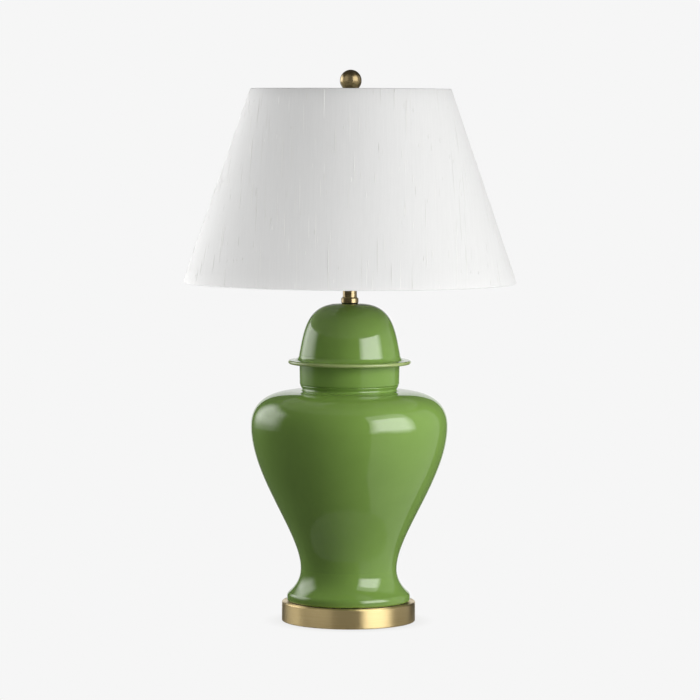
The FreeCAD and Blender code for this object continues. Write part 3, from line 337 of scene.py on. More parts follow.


# Nylon has a soft dark sheen, and rubber nearly none. The gaskets are dark rubber, and their dark lines where
# the jar meets the base and where the lid meets the jar also stand in for the shade in those joints: partly
# painted shade.
nylon = moulded("moulded_black_nylon", "#151515", "#1f1f1e", roughness=0.42, grain=0.5 * MM)
gasket_rubber_and_joint_shade = moulded("dark_gasket_rubber_and_joint_shade", "#120e0a", "#221a13", roughness=0.75, grain=0.6 * MM)
dress(nylon, "cord_bushing")
dress(gasket_rubber_and_joint_shade, "foot_gasket", "lid_gasket")

# ---------------------------------------------------------------------------
# Clamp hardware. Pressed steel washers, a split lock washer and a hexagon nut on the hollow
# rod that holds the lamp together from its base to its lamp holder.
# ---------------------------------------------------------------------------


def plated(name, dark, light, roughness, speck):
    """A plated or drawn metal: a bright surface with a little cloud, and fine specks in its gloss."""
    made, tree, surface = new_material(name, Metallic=1.0)
    place = node(tree, "ShaderNodeTexCoord").outputs["Object"]
    cloud = node(tree, "ShaderNodeTexNoise", Vector=place, Scale=1 / (6 * MM), Detail=4)
    fine = node(tree, "ShaderNodeTexNoise", Vector=place, Scale=1 / speck, Detail=2)
    tint = node(tree, "ShaderNodeMix", {"data_type": "RGBA"},
                _0=cloud.outputs["Fac"], _6=colour(dark), _7=colour(light))
    tree.links.new(tint.outputs[2], surface.inputs["Base Color"])
    gloss = node(tree, "ShaderNodeMapRange", Value=fine.outputs["Fac"],
                 To_Min=roughness - 0.07, To_Max=roughness + 0.07)
    tree.links.new(gloss.outputs[0], surface.inputs["Roughness"])
    return made


# Zinc is a bluish grey and only half bright.
zinc = plated("zinc_plated_steel", "#9a9c9e", "#c9cbcb", roughness=0.34, speck=0.8 * MM)
dress(zinc, "rod_washer", "lock_washer", "rod_nut")


def winding(tree, place, pitch):
    """How far a place lies along a right-hand thread round the lamp's axis, as an angle."""
    parts = node(tree, "ShaderNodeSeparateXYZ", Vector=place)
    turn = node(tree, "ShaderNodeMath", {"operation": "ARCTAN2"},
                _0=parts.outputs["Y"], _1=parts.outputs["X"]).outputs[0]
    turns = node(tree, "ShaderNodeMath", {"operation": "DIVIDE"}, _0=parts.outputs["Z"], _1=pitch).outputs[0]
    rise = node(tree, "ShaderNodeMath", {"operation": "MULTIPLY"}, _0=turns, _1=2 * math.pi).outputs[0]
    return node(tree, "ShaderNodeMath", {"operation": "SUBTRACT"}, _0=rise, _1=turn).outputs[0]


# The rod's thread, of 27 turns to the inch, shows as dark roots between bright crests: painted shade in the
# roots and a painted highlight on the crests.
ROD_PITCH = 0.94 * MM
ROD_THREAD_LIFT = 0.25 * MM
rod_steel, tree, surface = new_material("threaded_rod_steel", Metallic=1.0, Roughness=0.38)
phase = winding(tree, node(tree, "ShaderNodeTexCoord").outputs["Object"], ROD_PITCH)
crest = node(tree, "ShaderNodeMath", {"operation": "SINE"}, _0=phase).outputs[0]
# The roots take the dark colour and the crests the pale one: painted shade and a painted highlight.
tint = node(tree, "ShaderNodeMapRange", Value=crest, From_Min=-1, To_Min=0.25, To_Max=1).outputs[0]
metal = node(tree, "ShaderNodeMix", {"data_type": "RGBA"},
             _0=tint, _6=colour("#5c5a55"), _7=colour("#b9b6ae"))
tree.links.new(metal.outputs[2], surface.inputs["Base Color"])
relief = node(tree, "ShaderNodeBump", Strength=1.0, Distance=ROD_THREAD_LIFT, Height=crest)
tree.links.new(relief.outputs[0], surface.inputs["Normal"])
dress(rod_steel, "threaded_rod")

# ---------------------------------------------------------------------------
# Jar and lid. Slip-cast stoneware, trimmed true at the lid's flange and the jar's foot, and
# fired under a thick leaf-green glaze.
# ---------------------------------------------------------------------------

# The glaze is glass: it mirrors the panels sharply, in slightly wavy outlines. It is deeper
# where it pools, has a few darker specks, and breaks paler where it runs thin over the flange.
GLAZE_DEEP = "#739443"
GLAZE_CLEAR = "#7c9d4b"
GLAZE_THIN = "#a8b478"
GLAZE_SPECK = "#6c8a3e"
POOL = 45 * MM
SPECK = 1.6 * MM
WAVE = 38 * MM
PEEL = 3 * MM
FLANGE_EDGE = 2.6 * MM
FLANGE_REACH = 40 * MM
glaze, tree, surface = new_material("leaf_green_glaze", Roughness=0.045, IOR=1.6)
place = node(tree, "ShaderNodeTexCoord").outputs["Object"]
pools = node(tree, "ShaderNodeTexNoise", Vector=place, Scale=1 / POOL, Detail=3, Roughness=0.55)
body = node(tree, "ShaderNodeMix", {"data_type": "RGBA"},
            _0=pools.outputs["Fac"], _6=colour(GLAZE_DEEP), _7=colour(GLAZE_CLEAR)).outputs[2]
grit = node(tree, "ShaderNodeTexNoise", Vector=place, Scale=1 / SPECK, Detail=2)
specks = node(tree, "ShaderNodeMapRange", Value=grit.outputs["Fac"],
              From_Min=0.62, From_Max=0.75, To_Max=0.35).outputs[0]
body = node(tree, "ShaderNodeMix", {"data_type": "RGBA"},
            _0=specks, _6=body, _7=colour(GLAZE_SPECK)).outputs[2]
radius = from_axis(tree, place)[1]
height = node(tree, "ShaderNodeSeparateXYZ", Vector=place).outputs["Z"]
lid_low, lid_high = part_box("jar_lid")
rim = node(tree, "ShaderNodeMapRange", Value=radius,
           From_Min=lid_high.x - FLANGE_EDGE, From_Max=lid_high.x, To_Max=0.8).outputs[0]
low = node(tree, "ShaderNodeMath", {"operation": "GREATER_THAN"}, _0=height, _1=lid_low.z).outputs[0]
high = node(tree, "ShaderNodeMath", {"operation": "LESS_THAN"}, _0=height, _1=lid_low.z + FLANGE_REACH)
band = node(tree, "ShaderNodeMath", {"operation": "MULTIPLY"}, _0=low, _1=high.outputs[0]).outputs[0]
thin = node(tree, "ShaderNodeMath", {"operation": "MULTIPLY"}, _0=rim, _1=band).outputs[0]
body = node(tree, "ShaderNodeMix", {"data_type": "RGBA"},
            _0=thin, _6=body, _7=colour(GLAZE_THIN)).outputs[2]
tree.links.new(body, surface.inputs["Base Color"])
wave = node(tree, "ShaderNodeTexNoise", Vector=place, Scale=1 / WAVE, Detail=1)
peel = node(tree, "ShaderNodeTexNoise", Vector=place, Scale=1 / PEEL, Detail=1)
broad = node(tree, "ShaderNodeBump", Strength=0.4, Distance=0.5 * MM, Height=wave.outputs["Fac"])
fine = node(tree, "ShaderNodeBump", Strength=0.15, Distance=0.01 * MM,
            Height=peel.outputs["Fac"], Normal=broad.outputs[0])
tree.links.new(fine.outputs[0], surface.inputs["Normal"])
dress(glaze, "jar_body", "jar_lid")

# ---------------------------------------------------------------------------
# Neck. A turned brass ring on the lid, with a drawn brass tube standing in it round the rod.
# Both are lacquered.
# ---------------------------------------------------------------------------

# Old lacquer makes the brass browner than the base and gives it a second, colourless gleam.
# These grooves, too, are drawn coarser than the real ones.
TURNED_GROOVE = 0.3 * MM
aged_brass = brass("turned_lacquered_brass", "#98845c", "#baa678", roughness=0.28, swing=0.03,
                   groove=TURNED_GROOVE, anisotropy=0.6, lacquer=0.6)
dress(aged_brass, "neck_ring", "neck_tube")

# ---------------------------------------------------------------------------
# Harp. A bent steel strap carries a bent wire, locked by two sleeves, and on the wire's top
# stands a plate with a cut stud.
# ---------------------------------------------------------------------------

# Nickel is brighter than zinc and a little warm.
nickel = plated("nickel_plated_steel", "#a9a49a", "#d4cfc4", roughness=0.24, speck=1.2 * MM)
dress(nickel, "harp_saddle", "harp_bow", "harp_sleeve_left", "harp_sleeve_right")

# A thread is sunk into a turned piece: its roots are one pitch apart and as deep as Depth, it
# runs out within a pitch of Start and of End, and what lies inside Bore stays as it is.
rolled_thread = bpy.data.node_groups.new("rolled_thread", "GeometryNodeTree")
rolled_thread.interface.new_socket("Geometry", in_out="INPUT", socket_type="NodeSocketGeometry")
for name in ("Start", "End", "Pitch", "Depth", "Bore"):
    rolled_thread.interface.new_socket(name, in_out="INPUT", socket_type="NodeSocketFloat")
rolled_thread.interface.new_socket("Finish", in_out="INPUT", socket_type="NodeSocketMaterial")
rolled_thread.interface.new_socket("Geometry", in_out="OUTPUT", socket_type="NodeSocketGeometry")
tree = rolled_thread
given = node(tree, "NodeGroupInput")
spot = node(tree, "GeometryNodeInputPosition").outputs[0]
phase = winding(tree, spot, given.outputs["Pitch"])
crest = node(tree, "ShaderNodeMath", {"operation": "COSINE"}, _0=phase).outputs[0]
cut = node(tree, "ShaderNodeMapRange", Value=crest, From_Min=-1, To_Min=-1, To_Max=0).outputs[0]
height = node(tree, "ShaderNodeSeparateXYZ", Vector=spot).outputs["Z"]
after = node(tree, "ShaderNodeMath", {"operation": "SUBTRACT"},
             _0=height, _1=given.outputs["Start"]).outputs[0]
before = node(tree, "ShaderNodeMath", {"operation": "SUBTRACT"},
              _0=given.outputs["End"], _1=height).outputs[0]
inside = node(tree, "ShaderNodeMath", {"operation": "MINIMUM"}, _0=after, _1=before).outputs[0]
run_out = node(tree, "ShaderNodeMath", {"operation": "DIVIDE", "use_clamp": True},
               _0=inside, _1=given.outputs["Pitch"]).outputs[0]
flat, radius = from_axis(tree, spot)
outside = node(tree, "ShaderNodeMath", {"operation": "GREATER_THAN"}, _0=radius, _1=given.outputs["Bore"])
depth = node(tree, "ShaderNodeMath", {"operation": "MULTIPLY"},
             _0=cut, _1=given.outputs["Depth"]).outputs[0]
depth = node(tree, "ShaderNodeMath", {"operation": "MULTIPLY"}, _0=depth, _1=run_out).outputs[0]
depth = node(tree, "ShaderNodeMath", {"operation": "MULTIPLY"}, _0=depth, _1=outside.outputs[0]).outputs[0]
outwards = node(tree, "ShaderNodeVectorMath", {"operation": "NORMALIZE"}, _0=flat).outputs[0]
shift = node(tree, "ShaderNodeVectorMath", {"operation": "SCALE"}, _0=outwards, Scale=depth).outputs[0]
moved = node(tree, "GeometryNodeSetPosition", Geometry=given.outputs["Geometry"], Offset=shift)
real = node(tree, "GeometryNodeRealizeInstances", Geometry=moved.outputs[0])
finished = node(tree, "GeometryNodeSetMaterial", Geometry=real.outputs[0], Material=given.outputs["Finish"])
node(tree, "NodeGroupOutput", Geometry=finished.outputs[0])


def grown(piece, tree, **values):
    """Runs a node tree on a piece, with each of its named inputs set, and keeps the plain mesh."""
    modifier = piece.modifiers.new(tree.name, "NODES")
    modifier.node_group = tree
    for socket in tree.interface.items_tree:
        if socket.in_out == "INPUT" and socket.name in values:
            modifier[socket.identifier] = values[socket.name]
    shape = bpy.data.meshes.new_from_object(piece.evaluated_get(bpy.context.evaluated_depsgraph_get()))
    piece.modifiers.remove(modifier)
    piece.data = shape
    return piece


def turned(name, outline, sides, row):
    """A lathe-turned piece from its closed outline of (radius, height), in rows no taller than row."""
    rows = []
    for here, there in zip(outline, outline[1:] + outline[:1]):
        count = max(1, math.ceil(abs(there[1] - here[1]) / row))
        rows += [Vector(here).lerp(Vector(there), step / count) for step in range(count)]
    around = [2 * math.pi * side / sides for side in range(sides)]
    points = [(radius * math.cos(turn), radius * math.sin(turn), height)
              for radius, height in rows for turn in around]
    faces = []
    for row_here in range(len(rows)):
        here = row_here * sides
        there = (row_here + 1) % len(rows) * sides
        for side in range(sides):
            after = (side + 1) % sides
            faces.append((here + side, here + after, there + after, there + side))
    mesh = bpy.data.meshes.new(name)
    mesh.from_pydata(points, [], faces)
    made = bpy.data.objects.new(name, mesh)
    scene.collection.objects.link(made)
    return made


def smooth(piece, angle):
    """Shades a piece smooth, apart from the edges that turn by more than angle degrees."""
    piece.data.shade_smooth()
    piece.data.set_sharp_from_angle(angle=math.radians(angle))
    return piece


# The stud's real thread has 27 turns to the inch; it is drawn a little coarser so that it shows.
STUD_PITCH = 1.3 * MM
STUD_DEPTH = 0.4 * MM
STUD_CHAMFER = 0.8 * MM
STUD_SKIN = 0.1 * MM
STUD_PLATE = 2 * MM
STUD_TIP = 2 * MM
STUD_SIDES = 48
STUD_ROW = STUD_PITCH / 8
AXIS = 0.01 * MM
CREASE = 50
stud_low, stud_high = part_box("harp_stud")
plate_radius = stud_high.x
plate_top = stud_low.z + STUD_PLATE
stud_top = [v.co for v in nodes["harp_stud"].data.vertices if v.co.z > stud_high.z - STUD_TIP]
stud_radius = max(math.hypot(spot.x, spot.y) for spot in stud_top)
stud = turned("cut_harp_stud", [
    (AXIS, stud_low.z), (plate_radius, stud_low.z), (plate_radius, plate_top), (stud_radius, plate_top),
    (stud_radius, stud_high.z - STUD_CHAMFER), (stud_radius - STUD_CHAMFER, stud_high.z), (AXIS, stud_high.z),
], STUD_SIDES, STUD_ROW)
grown(stud, rolled_thread, Start=plate_top + MM, End=stud_high.z, Pitch=STUD_PITCH, Depth=STUD_DEPTH,
      Bore=stud_radius - STUD_SKIN, Finish=nickel)
smooth(stud, CREASE)
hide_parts("harp_stud")
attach(stud, "lamp")

# ---------------------------------------------------------------------------
# Lamp holder. Its cap and shell are drawn from thin brass; inside them are a fibre liner, a
# phenolic core, a rolled aluminium screw shell and the spring contact.
# ---------------------------------------------------------------------------

# Bright plating mirrors its surroundings, in the yellow of polished brass. Its drawing marks
# are drawn coarser than the real ones.
HOLDER_GROOVE = 0.5 * MM
bright_brass = brass("bright_plated_brass", "#c9a65a", "#e6cb86", roughness=0.18, swing=0.03,
                     groove=HOLDER_GROOVE, anisotropy=0.3, lacquer=0.0)
dress(bright_brass, "socket_cap", "cap_screw", "socket_shell", "terminal_screws", "switch_spindle",
      "centre_contact", "bulb_contact")
dress(nylon, "switch_knob")

# Fibre is a matt tan sheet, and phenolic a dark, half-glossy brown.
fibre = fibrous("insulating_fibre", "#8a6d47", "#b3946a", fibre=0.5 * MM, roughness=0.8, lift=0.05 * MM)
phenolic = moulded("brown_phenolic", "#1d120c", "#3a2618", roughness=0.35, grain=0.8 * MM)
dress(fibre, "shell_liner")
dress(phenolic, "socket_body", "bulb_insulator")

# Aluminium is the palest metal here. The thread has 7 turns to the inch.
SCREW_PITCH = 3.63 * MM
SHELL_DEPTH = 0.3 * MM
SHELL_WALL = 0.4 * MM
SHELL_HOLE = 4.5 * MM
SHELL_FOOT = 2 * MM
THREAD_SKIN = MM
SCREW_SIDES = 64
SCREW_ROW = SCREW_PITCH / 10
aluminium = plated("drawn_aluminium", "#c3c5c7", "#e2e3e4", roughness=0.28, speck=0.6 * MM)
shell_low, shell_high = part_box("screw_shell")
shell_radius = shell_high.x
shell = turned("rolled_screw_shell", [
    (SHELL_HOLE, shell_low.z), (shell_radius, shell_low.z), (shell_radius, shell_high.z),
    (shell_radius - SHELL_WALL, shell_high.z), (shell_radius - SHELL_WALL, shell_low.z + SHELL_WALL),
    (SHELL_HOLE, shell_low.z + SHELL_WALL),
], SCREW_SIDES, SCREW_ROW)
grown(shell, rolled_thread, Start=shell_low.z + SHELL_FOOT, End=shell_high.z, Pitch=SCREW_PITCH,
      Depth=SHELL_DEPTH, Bore=shell_radius - THREAD_SKIN, Finish=aluminium)
smooth(shell, CREASE)
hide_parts("screw_shell")
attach(shell, "lamp")

# ---------------------------------------------------------------------------
# Bulb. A blown glass globe with a white powder inside, in a cap of thin aluminium into which
# the thread is rolled.
# ---------------------------------------------------------------------------

# The powder makes the glass milky, and its smooth outside still shines.
POWDER_CLOUD = 9 * MM
opal, tree, surface = new_material("soft_white_bulb_glass", Roughness=0.12, IOR=1.5, Coat_Weight=0.6,
                                   Coat_Roughness=0.03)
place = node(tree, "ShaderNodeTexCoord").outputs["Object"]
powder = node(tree, "ShaderNodeTexNoise", Vector=place, Scale=1 / POWDER_CLOUD, Detail=5)
tint = node(tree, "ShaderNodeMix", {"data_type": "RGBA"},
            _0=powder.outputs["Fac"], _6=colour("#e9e7df"), _7=colour("#f4f3ee"))
tree.links.new(tint.outputs[2], surface.inputs["Base Color"])
dress(opal, "bulb_glass")

CAP_DEPTH = 0.8 * MM
CAP_SHOULDER = 2.6 * MM
CAP_MOUTH = 6.9 * MM
CAP_LIP = 1.2 * MM
CAP_FLOOR = 0.6 * MM
CAP_CUFF = 3 * MM
cap_low, cap_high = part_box("bulb_cap")
cap_radius = cap_high.x
bulb_cap = turned("rolled_bulb_cap", [
    (CAP_MOUTH, cap_low.z), (CAP_MOUTH + CAP_LIP, cap_low.z), (cap_radius, cap_low.z + CAP_SHOULDER),
    (cap_radius, cap_high.z), (cap_radius - SHELL_WALL, cap_high.z),
    (cap_radius - SHELL_WALL, cap_low.z + CAP_SHOULDER + SHELL_WALL), (CAP_MOUTH, cap_low.z + CAP_FLOOR),
], SCREW_SIDES, SCREW_ROW)
grown(bulb_cap, rolled_thread, Start=cap_low.z + CAP_SHOULDER, End=cap_high.z - CAP_CUFF, Pitch=SCREW_PITCH,
      Depth=CAP_DEPTH, Bore=cap_radius - THREAD_SKIN, Finish=aluminium)
smooth(bulb_cap, CREASE)
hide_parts("bulb_cap")
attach(bulb_cap, "bulb")

# ---------------------------------------------------------------------------
# Shade. White slub linen, cut as one sector of a ring whose threads run straight down at the
# front, glued round a stiff white liner, turned in over two wire rings and lapped at the back.
# ---------------------------------------------------------------------------
dress(nickel, "shade_spider", "shade_top_ring", "shade_bottom_ring")

# The liner is a smooth, half-matt plastic sheet, a little clouded.
LINER_CLOUD = 30 * MM
liner_sheet, tree, surface = new_material("white_liner_sheet", Roughness=0.55)
place = node(tree, "ShaderNodeTexCoord").outputs["Object"]
cloud = node(tree, "ShaderNodeTexNoise", Vector=place, Scale=1 / LINER_CLOUD, Detail=5)
tint = node(tree, "ShaderNodeMix", {"data_type": "RGBA"},
            _0=cloud.outputs["Fac"], _6=colour("#e9e8e4"), _7=colour("#f3f2ef"))
tree.links.new(tint.outputs[2], surface.inputs["Base Color"])
dress(liner_sheet, "shade_liner")

# The cone's apex, the lean of its sides, the reach of each edge from the apex along a side, and
# the angle of the sector that it is cut from.
RIM_ROW = 0.1 * MM
cloth_low, cloth_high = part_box("shade_fabric")
rim_spots = [v.co for v in nodes["shade_fabric"].data.vertices if v.co.z > cloth_high.z - RIM_ROW]
bottom_radius = cloth_high.x
top_radius = max(math.hypot(spot.x, spot.y) for spot in rim_spots)
taper = (bottom_radius - top_radius) / (cloth_high.z - cloth_low.z)
apex = cloth_low.z + bottom_radius / taper
lean = math.atan(taper)
bottom_reach = bottom_radius / math.sin(lean)
top_reach = top_radius / math.sin(lean)
opening = 2 * math.pi * math.sin(lean)

TURN_IN = 9 * MM
FOLD_RADIUS = 1.3 * MM
CLOTH = 0.45 * MM
LAP = 12 * MM
LAP_LIFT = 0.55 * MM
RING_BULGE = 2.72 * MM
RING_SHARE = 0.75
WRAP_STEPS = 288
FACE_STEPS = 16
FOLD_STEPS = 5
TURN_IN_STEPS = 4


def fold_profile(reach, outwards):
    """The cloth's path from the outer face round an edge, back inside and over the wire ring, as rows
    of (reach, depth, cut): the distance from the apex, the depth behind the face, and the distance
    from the apex in the flat cut."""
    rows = []
    for step in range(FOLD_STEPS + 1):
        turn = math.pi * step / FOLD_STEPS
        rows.append((reach + outwards * FOLD_RADIUS * (math.sin(turn) - 1),
                     FOLD_RADIUS * (1 - math.cos(turn)),
                     reach + outwards * FOLD_RADIUS * (turn - 1)))
    for step in range(1, TURN_IN_STEPS + 1):
        share = step / TURN_IN_STEPS
        bulge = RING_BULGE * math.sin(math.pi * min(share / RING_SHARE, 1))
        rows.append((reach - outwards * (FOLD_RADIUS + share * TURN_IN),
                     2 * FOLD_RADIUS + bulge,
                     reach + outwards * (FOLD_RADIUS * (math.pi - 1) + share * TURN_IN)))
    return rows


face_length = bottom_reach - top_reach - 2 * FOLD_RADIUS
face = [top_reach + FOLD_RADIUS + face_length * step / FACE_STEPS for step in range(1, FACE_STEPS)]
profile = fold_profile(top_reach, -1)[::-1]
profile += [(reach, 0, reach) for reach in face]
profile += fold_profile(bottom_reach, 1)
rows = len(profile)
lap_turn = LAP / bottom_radius
points, threads, faces = [], [], []
for step in range(WRAP_STEPS + 1):
    turn = (2 * math.pi + lap_turn) * step / WRAP_STEPS - math.pi
    lift = LAP_LIFT * min(max((turn - math.pi + 2 * lap_turn) / lap_turn, 0), 1)
    for reach, behind, cut in profile:
        radius = reach * math.sin(lean) - (behind - lift) * math.cos(lean)
        height = apex - reach * math.cos(lean) - (behind - lift) * math.sin(lean)
        points.append((radius * math.sin(turn), -radius * math.cos(turn), height))
        flat_turn = turn * math.sin(lean)
        threads.append((cut * math.sin(flat_turn), -cut * math.cos(flat_turn)))
for column in range(WRAP_STEPS):
    for corner in range(column * rows, column * rows + rows - 1):
        faces.append((corner, corner + 1, corner + rows + 1, corner + rows))
cloth_mesh = bpy.data.meshes.new("slub_linen_cover")
cloth_mesh.from_pydata(points, [], faces)
laid = cloth_mesh.uv_layers.new(name="threads")
for corner in cloth_mesh.loops:
    laid.data[corner.index].uv = threads[corner.vertex_index]
cloth_mesh.shade_smooth()
cover = bpy.data.objects.new("slub_linen_cover", cloth_mesh)
scene.collection.objects.link(cover)
wall = cover.modifiers.new("cloth_thickness", "SOLIDIFY")
wall.thickness = CLOTH
wall.offset = -1

# Bleached linen is matt, with a soft fuzz at its edges. Its long warp threads show more than
# its weft, and some stretches of thread are thicker, in faint streaks. The real threads are
# about 0.4 mm apart; they are drawn coarser so that they show.
LINEN_GROUND = "#e7e7e6"
LINEN_LIGHT = "#ebebea"
LINEN_THREAD = 0.9 * MM
WARP_RUN = 26 * MM
WEFT_RUN = 9 * MM
STREAK_WIDTH = 3.2 * MM
STREAK_RUN = 110 * MM
WEAVE_LIFT = 0.25 * MM
fuzz = {"Roughness": 0.9, "Specular_IOR_Level": 0.15, "Sheen_Weight": 0.08, "Sheen_Roughness": 0.5}
linen, tree, surface = new_material("slub_linen", **fuzz)
sewn = node(tree, "ShaderNodeUVMap", {"uv_map": "threads"}).outputs[0]
yarns = []
for across, along, detail in (
        (LINEN_THREAD, WARP_RUN, 3), (WEFT_RUN, LINEN_THREAD, 2), (STREAK_WIDTH, STREAK_RUN, 2)):
    stretched = node(tree, "ShaderNodeMapping", {"vector_type": "POINT"}, Vector=sewn,
                     Scale=(1 / across, 1 / along, 1)).outputs[0]
    yarns.append(node(tree, "ShaderNodeTexNoise", {"noise_dimensions": "2D"},
                      Vector=stretched, Scale=1, Detail=detail).outputs["Fac"])
warp, weft, streak = yarns
woven = node(tree, "ShaderNodeMath", {"operation": "MULTIPLY_ADD"}, _0=weft, _1=0.25, _2=warp).outputs[0]
woven = node(tree, "ShaderNodeMath", {"operation": "MULTIPLY_ADD"}, _0=streak, _1=0.7, _2=woven).outputs[0]
spread = node(tree, "ShaderNodeMapRange", Value=woven, From_Min=0.65, From_Max=1.3).outputs[0]
tint = node(tree, "ShaderNodeMix", {"data_type": "RGBA"},
            _0=spread, _6=colour(LINEN_GROUND), _7=colour(LINEN_LIGHT))
tree.links.new(tint.outputs[2], surface.inputs["Base Color"])
relief = node(tree, "ShaderNodeBump", Strength=0.09, Distance=WEAVE_LIFT, Height=woven)
tree.links.new(relief.outputs[0], surface.inputs["Normal"])
cloth_mesh.materials.append(linen)

# A slub is the same linen, spun looser: most are paler than the cloth and some are darker.
SLUB_DARK = "#e0e0dd"
SLUB_PALE = "#f8f8f6"
slub, tree, surface = new_material("linen_slub_thread", **fuzz)
tone = node(tree, "ShaderNodeAttribute", {"attribute_name": "tone"}).outputs["Fac"]
tint = node(tree, "ShaderNodeMix", {"data_type": "RGBA"},
            _0=tone, _6=colour(SLUB_DARK), _7=colour(SLUB_PALE))
tree.links.new(tint.outputs[2], surface.inputs["Base Color"])
place = node(tree, "ShaderNodeTexCoord").outputs["Object"]
twist = node(tree, "ShaderNodeTexNoise", Vector=place, Scale=1 / MM, Detail=2).outputs["Fac"]
relief = node(tree, "ShaderNodeBump", Strength=0.3, Distance=0.1 * MM, Height=twist)
tree.links.new(relief.outputs[0], surface.inputs["Normal"])

# Each slub is a thick place in a thread: a thin flattened spindle, laid straight in the flat
# cut and then wrapped round the shade with it. Long ones are rare.
SPINDLE_SWELL = 3.0
SPINDLE_FLATNESS = 0.5
SLUB_RARITY = 2.6
SLUB_SHORTEST = 6 * MM
SLUB_THINNEST = 0.45
WIDTH_SEED = 7
TONE_SEED = 11
slubs = bpy.data.node_groups.new("slub_threads", "GeometryNodeTree")
slubs.interface.new_socket("Geometry", in_out="INPUT", socket_type="NodeSocketGeometry")
for name in ("Density", "Lean", "Apex", "Nearest", "Furthest", "Thread", "Longest"):
    slubs.interface.new_socket(name, in_out="INPUT", socket_type="NodeSocketFloat")
slubs.interface.new_socket("Seed", in_out="INPUT", socket_type="NodeSocketInt")
slubs.interface.new_socket("Finish", in_out="INPUT", socket_type="NodeSocketMaterial")
slubs.interface.new_socket("Geometry", in_out="OUTPUT", socket_type="NodeSocketGeometry")
tree = slubs
given = node(tree, "NodeGroupInput")
index = node(tree, "GeometryNodeInputIndex").outputs[0]
spot = node(tree, "GeometryNodeInputPosition").outputs[0]

spindle = node(tree, "GeometryNodeMeshCylinder", {"fill_type": "NONE"},
               Vertices=5, Side_Segments=6, Radius=0.5, Depth=1.0).outputs["Mesh"]
parts = node(tree, "ShaderNodeSeparateXYZ", Vector=spot)
along = node(tree, "ShaderNodeMath", {"operation": "MULTIPLY"},
             _0=parts.outputs["Z"], _1=SPINDLE_SWELL).outputs[0]
swell = node(tree, "ShaderNodeMath", {"operation": "COSINE"}, _0=along).outputs[0]
flat_swell = node(tree, "ShaderNodeMath", {"operation": "MULTIPLY"}, _0=swell, _1=SPINDLE_FLATNESS).outputs[0]
thick = node(tree, "ShaderNodeCombineXYZ", X=swell, Y=flat_swell, Z=1.0).outputs[0]
tapered = node(tree, "ShaderNodeVectorMath", {"operation": "MULTIPLY"}, _0=spot, _1=thick).outputs[0]
spindle = node(tree, "GeometryNodeSetPosition", Geometry=spindle, Position=tapered).outputs[0]
spindle = node(tree, "GeometryNodeTransform", Geometry=spindle,
               Rotation=(math.radians(90), 0, 0)).outputs[0]

spots = node(tree, "GeometryNodeDistributePointsOnFaces", {"distribute_method": "RANDOM"},
             Mesh=given.outputs["Geometry"], Density=given.outputs["Density"],
             Seed=given.outputs["Seed"]).outputs["Points"]
chance = node(tree, "FunctionNodeRandomValue", {"data_type": "FLOAT"},
              ID=index, Seed=given.outputs["Seed"]).outputs[1]
rare = node(tree, "ShaderNodeMath", {"operation": "POWER"}, _0=chance, _1=SLUB_RARITY).outputs[0]
length = node(tree, "ShaderNodeMapRange", Value=rare,
              To_Min=SLUB_SHORTEST, To_Max=given.outputs["Longest"]).outputs[0]
share = node(tree, "FunctionNodeRandomValue", {"data_type": "FLOAT"},
             ID=index, Seed=WIDTH_SEED, _2=SLUB_THINNEST, _3=1.0).outputs[1]
width = node(tree, "ShaderNodeMath", {"operation": "MULTIPLY"},
             _0=share, _1=given.outputs["Thread"]).outputs[0]
size = node(tree, "ShaderNodeCombineXYZ", X=width, Y=length, Z=width).outputs[0]
laid_on = node(tree, "GeometryNodeInstanceOnPoints", Points=spots, Instance=spindle, Scale=size).outputs[0]
tone = node(tree, "FunctionNodeRandomValue", {"data_type": "FLOAT"}, ID=index, Seed=TONE_SEED).outputs[1]
toned = node(tree, "GeometryNodeStoreNamedAttribute", {"data_type": "FLOAT", "domain": "INSTANCE"},
             Geometry=laid_on, Name="tone", Value=tone).outputs[0]
real = node(tree, "GeometryNodeRealizeInstances", Geometry=toned).outputs[0]

square = node(tree, "ShaderNodeCombineXYZ", X=parts.outputs["X"], Y=parts.outputs["Y"]).outputs[0]
reach = node(tree, "ShaderNodeVectorMath", {"operation": "LENGTH"}, _0=square).outputs["Value"]
held = node(tree, "ShaderNodeClamp", Value=reach,
            Min=given.outputs["Nearest"], Max=given.outputs["Furthest"]).outputs[0]
backwards = node(tree, "ShaderNodeMath", {"operation": "MULTIPLY"},
                 _0=parts.outputs["Y"], _1=-1.0).outputs[0]
flat_turn = node(tree, "ShaderNodeMath", {"operation": "ARCTAN2"},
                 _0=parts.outputs["X"], _1=backwards).outputs[0]
sine = node(tree, "ShaderNodeMath", {"operation": "SINE"}, _0=given.outputs["Lean"]).outputs[0]
cosine = node(tree, "ShaderNodeMath", {"operation": "COSINE"}, _0=given.outputs["Lean"]).outputs[0]
turn = node(tree, "ShaderNodeMath", {"operation": "DIVIDE"}, _0=flat_turn, _1=sine).outputs[0]
raised = node(tree, "ShaderNodeMath", {"operation": "MULTIPLY"},
              _0=parts.outputs["Z"], _1=cosine).outputs[0]
radius = node(tree, "ShaderNodeMath", {"operation": "MULTIPLY_ADD"}, _0=held, _1=sine, _2=raised).outputs[0]
turn_sine = node(tree, "ShaderNodeMath", {"operation": "SINE"}, _0=turn).outputs[0]
turn_cosine = node(tree, "ShaderNodeMath", {"operation": "COSINE"}, _0=turn).outputs[0]
east = node(tree, "ShaderNodeMath", {"operation": "MULTIPLY"}, _0=radius, _1=turn_sine).outputs[0]
north = node(tree, "ShaderNodeMath", {"operation": "MULTIPLY"}, _0=radius, _1=turn_cosine).outputs[0]
south = node(tree, "ShaderNodeMath", {"operation": "MULTIPLY"}, _0=north, _1=-1.0).outputs[0]
fall = node(tree, "ShaderNodeMath", {"operation": "MULTIPLY"}, _0=held, _1=cosine).outputs[0]
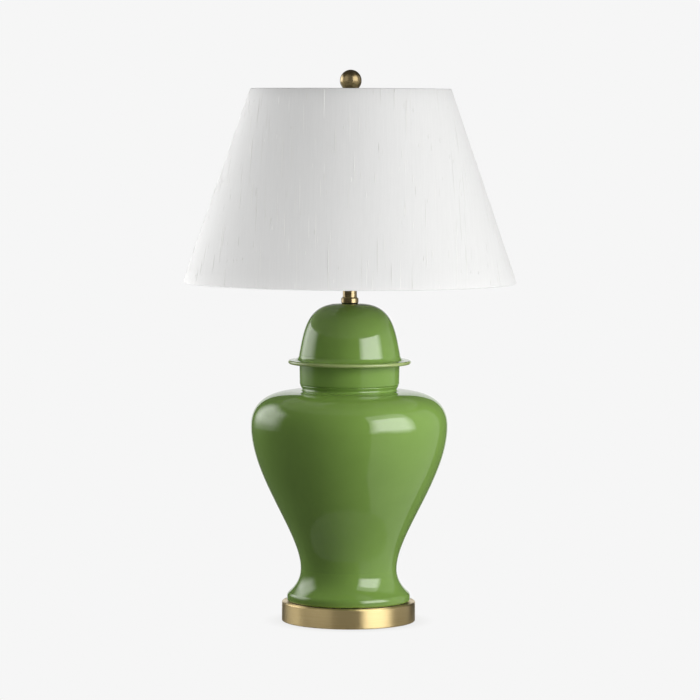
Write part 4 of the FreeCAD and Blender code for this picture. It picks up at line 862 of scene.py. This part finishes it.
level = node(tree, "ShaderNodeMath", {"operation": "SUBTRACT"},
             _0=given.outputs["Apex"], _1=fall).outputs[0]
height = node(tree, "ShaderNodeMath", {"operation": "MULTIPLY_ADD"},
              _0=parts.outputs["Z"], _1=sine, _2=level).outputs[0]
wrapped = node(tree, "ShaderNodeCombineXYZ", X=east, Y=south, Z=height).outputs[0]
wound = node(tree, "GeometryNodeSetPosition", Geometry=real, Position=wrapped).outputs[0]
rounded = node(tree, "GeometryNodeSetShadeSmooth", Geometry=wound).outputs[0]
finished = node(tree, "GeometryNodeSetMaterial", Geometry=rounded, Material=given.outputs["Finish"])
node(tree, "NodeGroupOutput", Geometry=finished.outputs[0])

# Real slubs are about 1 mm thick; these are up to 1.6 mm so that they show.
SLUB_DENSITY = 1600.0
SLUB_THREAD = 1.6 * MM
SLUB_LONGEST = 80 * MM
SLUB_MARGIN = 2 * MM
SLUB_SEED = 3
SECTOR_STEPS = 48
corners, strips = [], []
for step in range(SECTOR_STEPS + 1):
    flat_turn = opening * (step / SECTOR_STEPS - 0.5)
    for reach in (top_reach + SLUB_MARGIN, bottom_reach - SLUB_MARGIN):
        corners.append((reach * math.sin(flat_turn), -reach * math.cos(flat_turn), 0))
    if step:
        last = 2 * step
        strips.append((last - 2, last - 1, last + 1, last))
cut_mesh = bpy.data.meshes.new("slub_threads_laid")
cut_mesh.from_pydata(corners, [], strips)
slub_threads = bpy.data.objects.new("slub_threads_laid", cut_mesh)
scene.collection.objects.link(slub_threads)
grown(slub_threads, slubs, Density=SLUB_DENSITY, Lean=lean, Apex=apex, Nearest=top_reach + MM,
      Furthest=bottom_reach - MM, Thread=SLUB_THREAD, Longest=SLUB_LONGEST, Seed=SLUB_SEED, Finish=slub)

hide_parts("shade_fabric")
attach(cover, "shade")
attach(slub_threads, "shade")

# ---------------------------------------------------------------------------
# Finial. A turned brass ball on a short neck, lacquered like the lamp's neck, which screws down
# on the harp's stud and holds the shade.
# ---------------------------------------------------------------------------
dress(aged_brass, "finial")

# ---------------------------------------------------------------------------
# Lights and pieces. Each group of panels below leaves its pieces out, or lights them alone.
# ---------------------------------------------------------------------------
cloth = [cover, slub_threads]
for name, lights, pieces, state in (
        ("all_but_the_shade", [right_scrim, left_gleam], cloth, "EXCLUDE"),
        ("all_but_the_shade_and_finial", [right_gleam], cloth + [nodes["finial"]], "EXCLUDE"),
        ("the_shade", fills, cloth, "INCLUDE"),
        ("the_base_and_finial", [front_board, left_board, right_board],
         [nodes["base_pan"], nodes["finial"]], "INCLUDE")):
    group = bpy.data.collections.new(name)
    for piece in pieces:
        group.objects.link(piece)
    for member in group.collection_objects:
        member.light_linking.link_state = state
    for light in lights:
        light.light_linking.receiver_collection = group
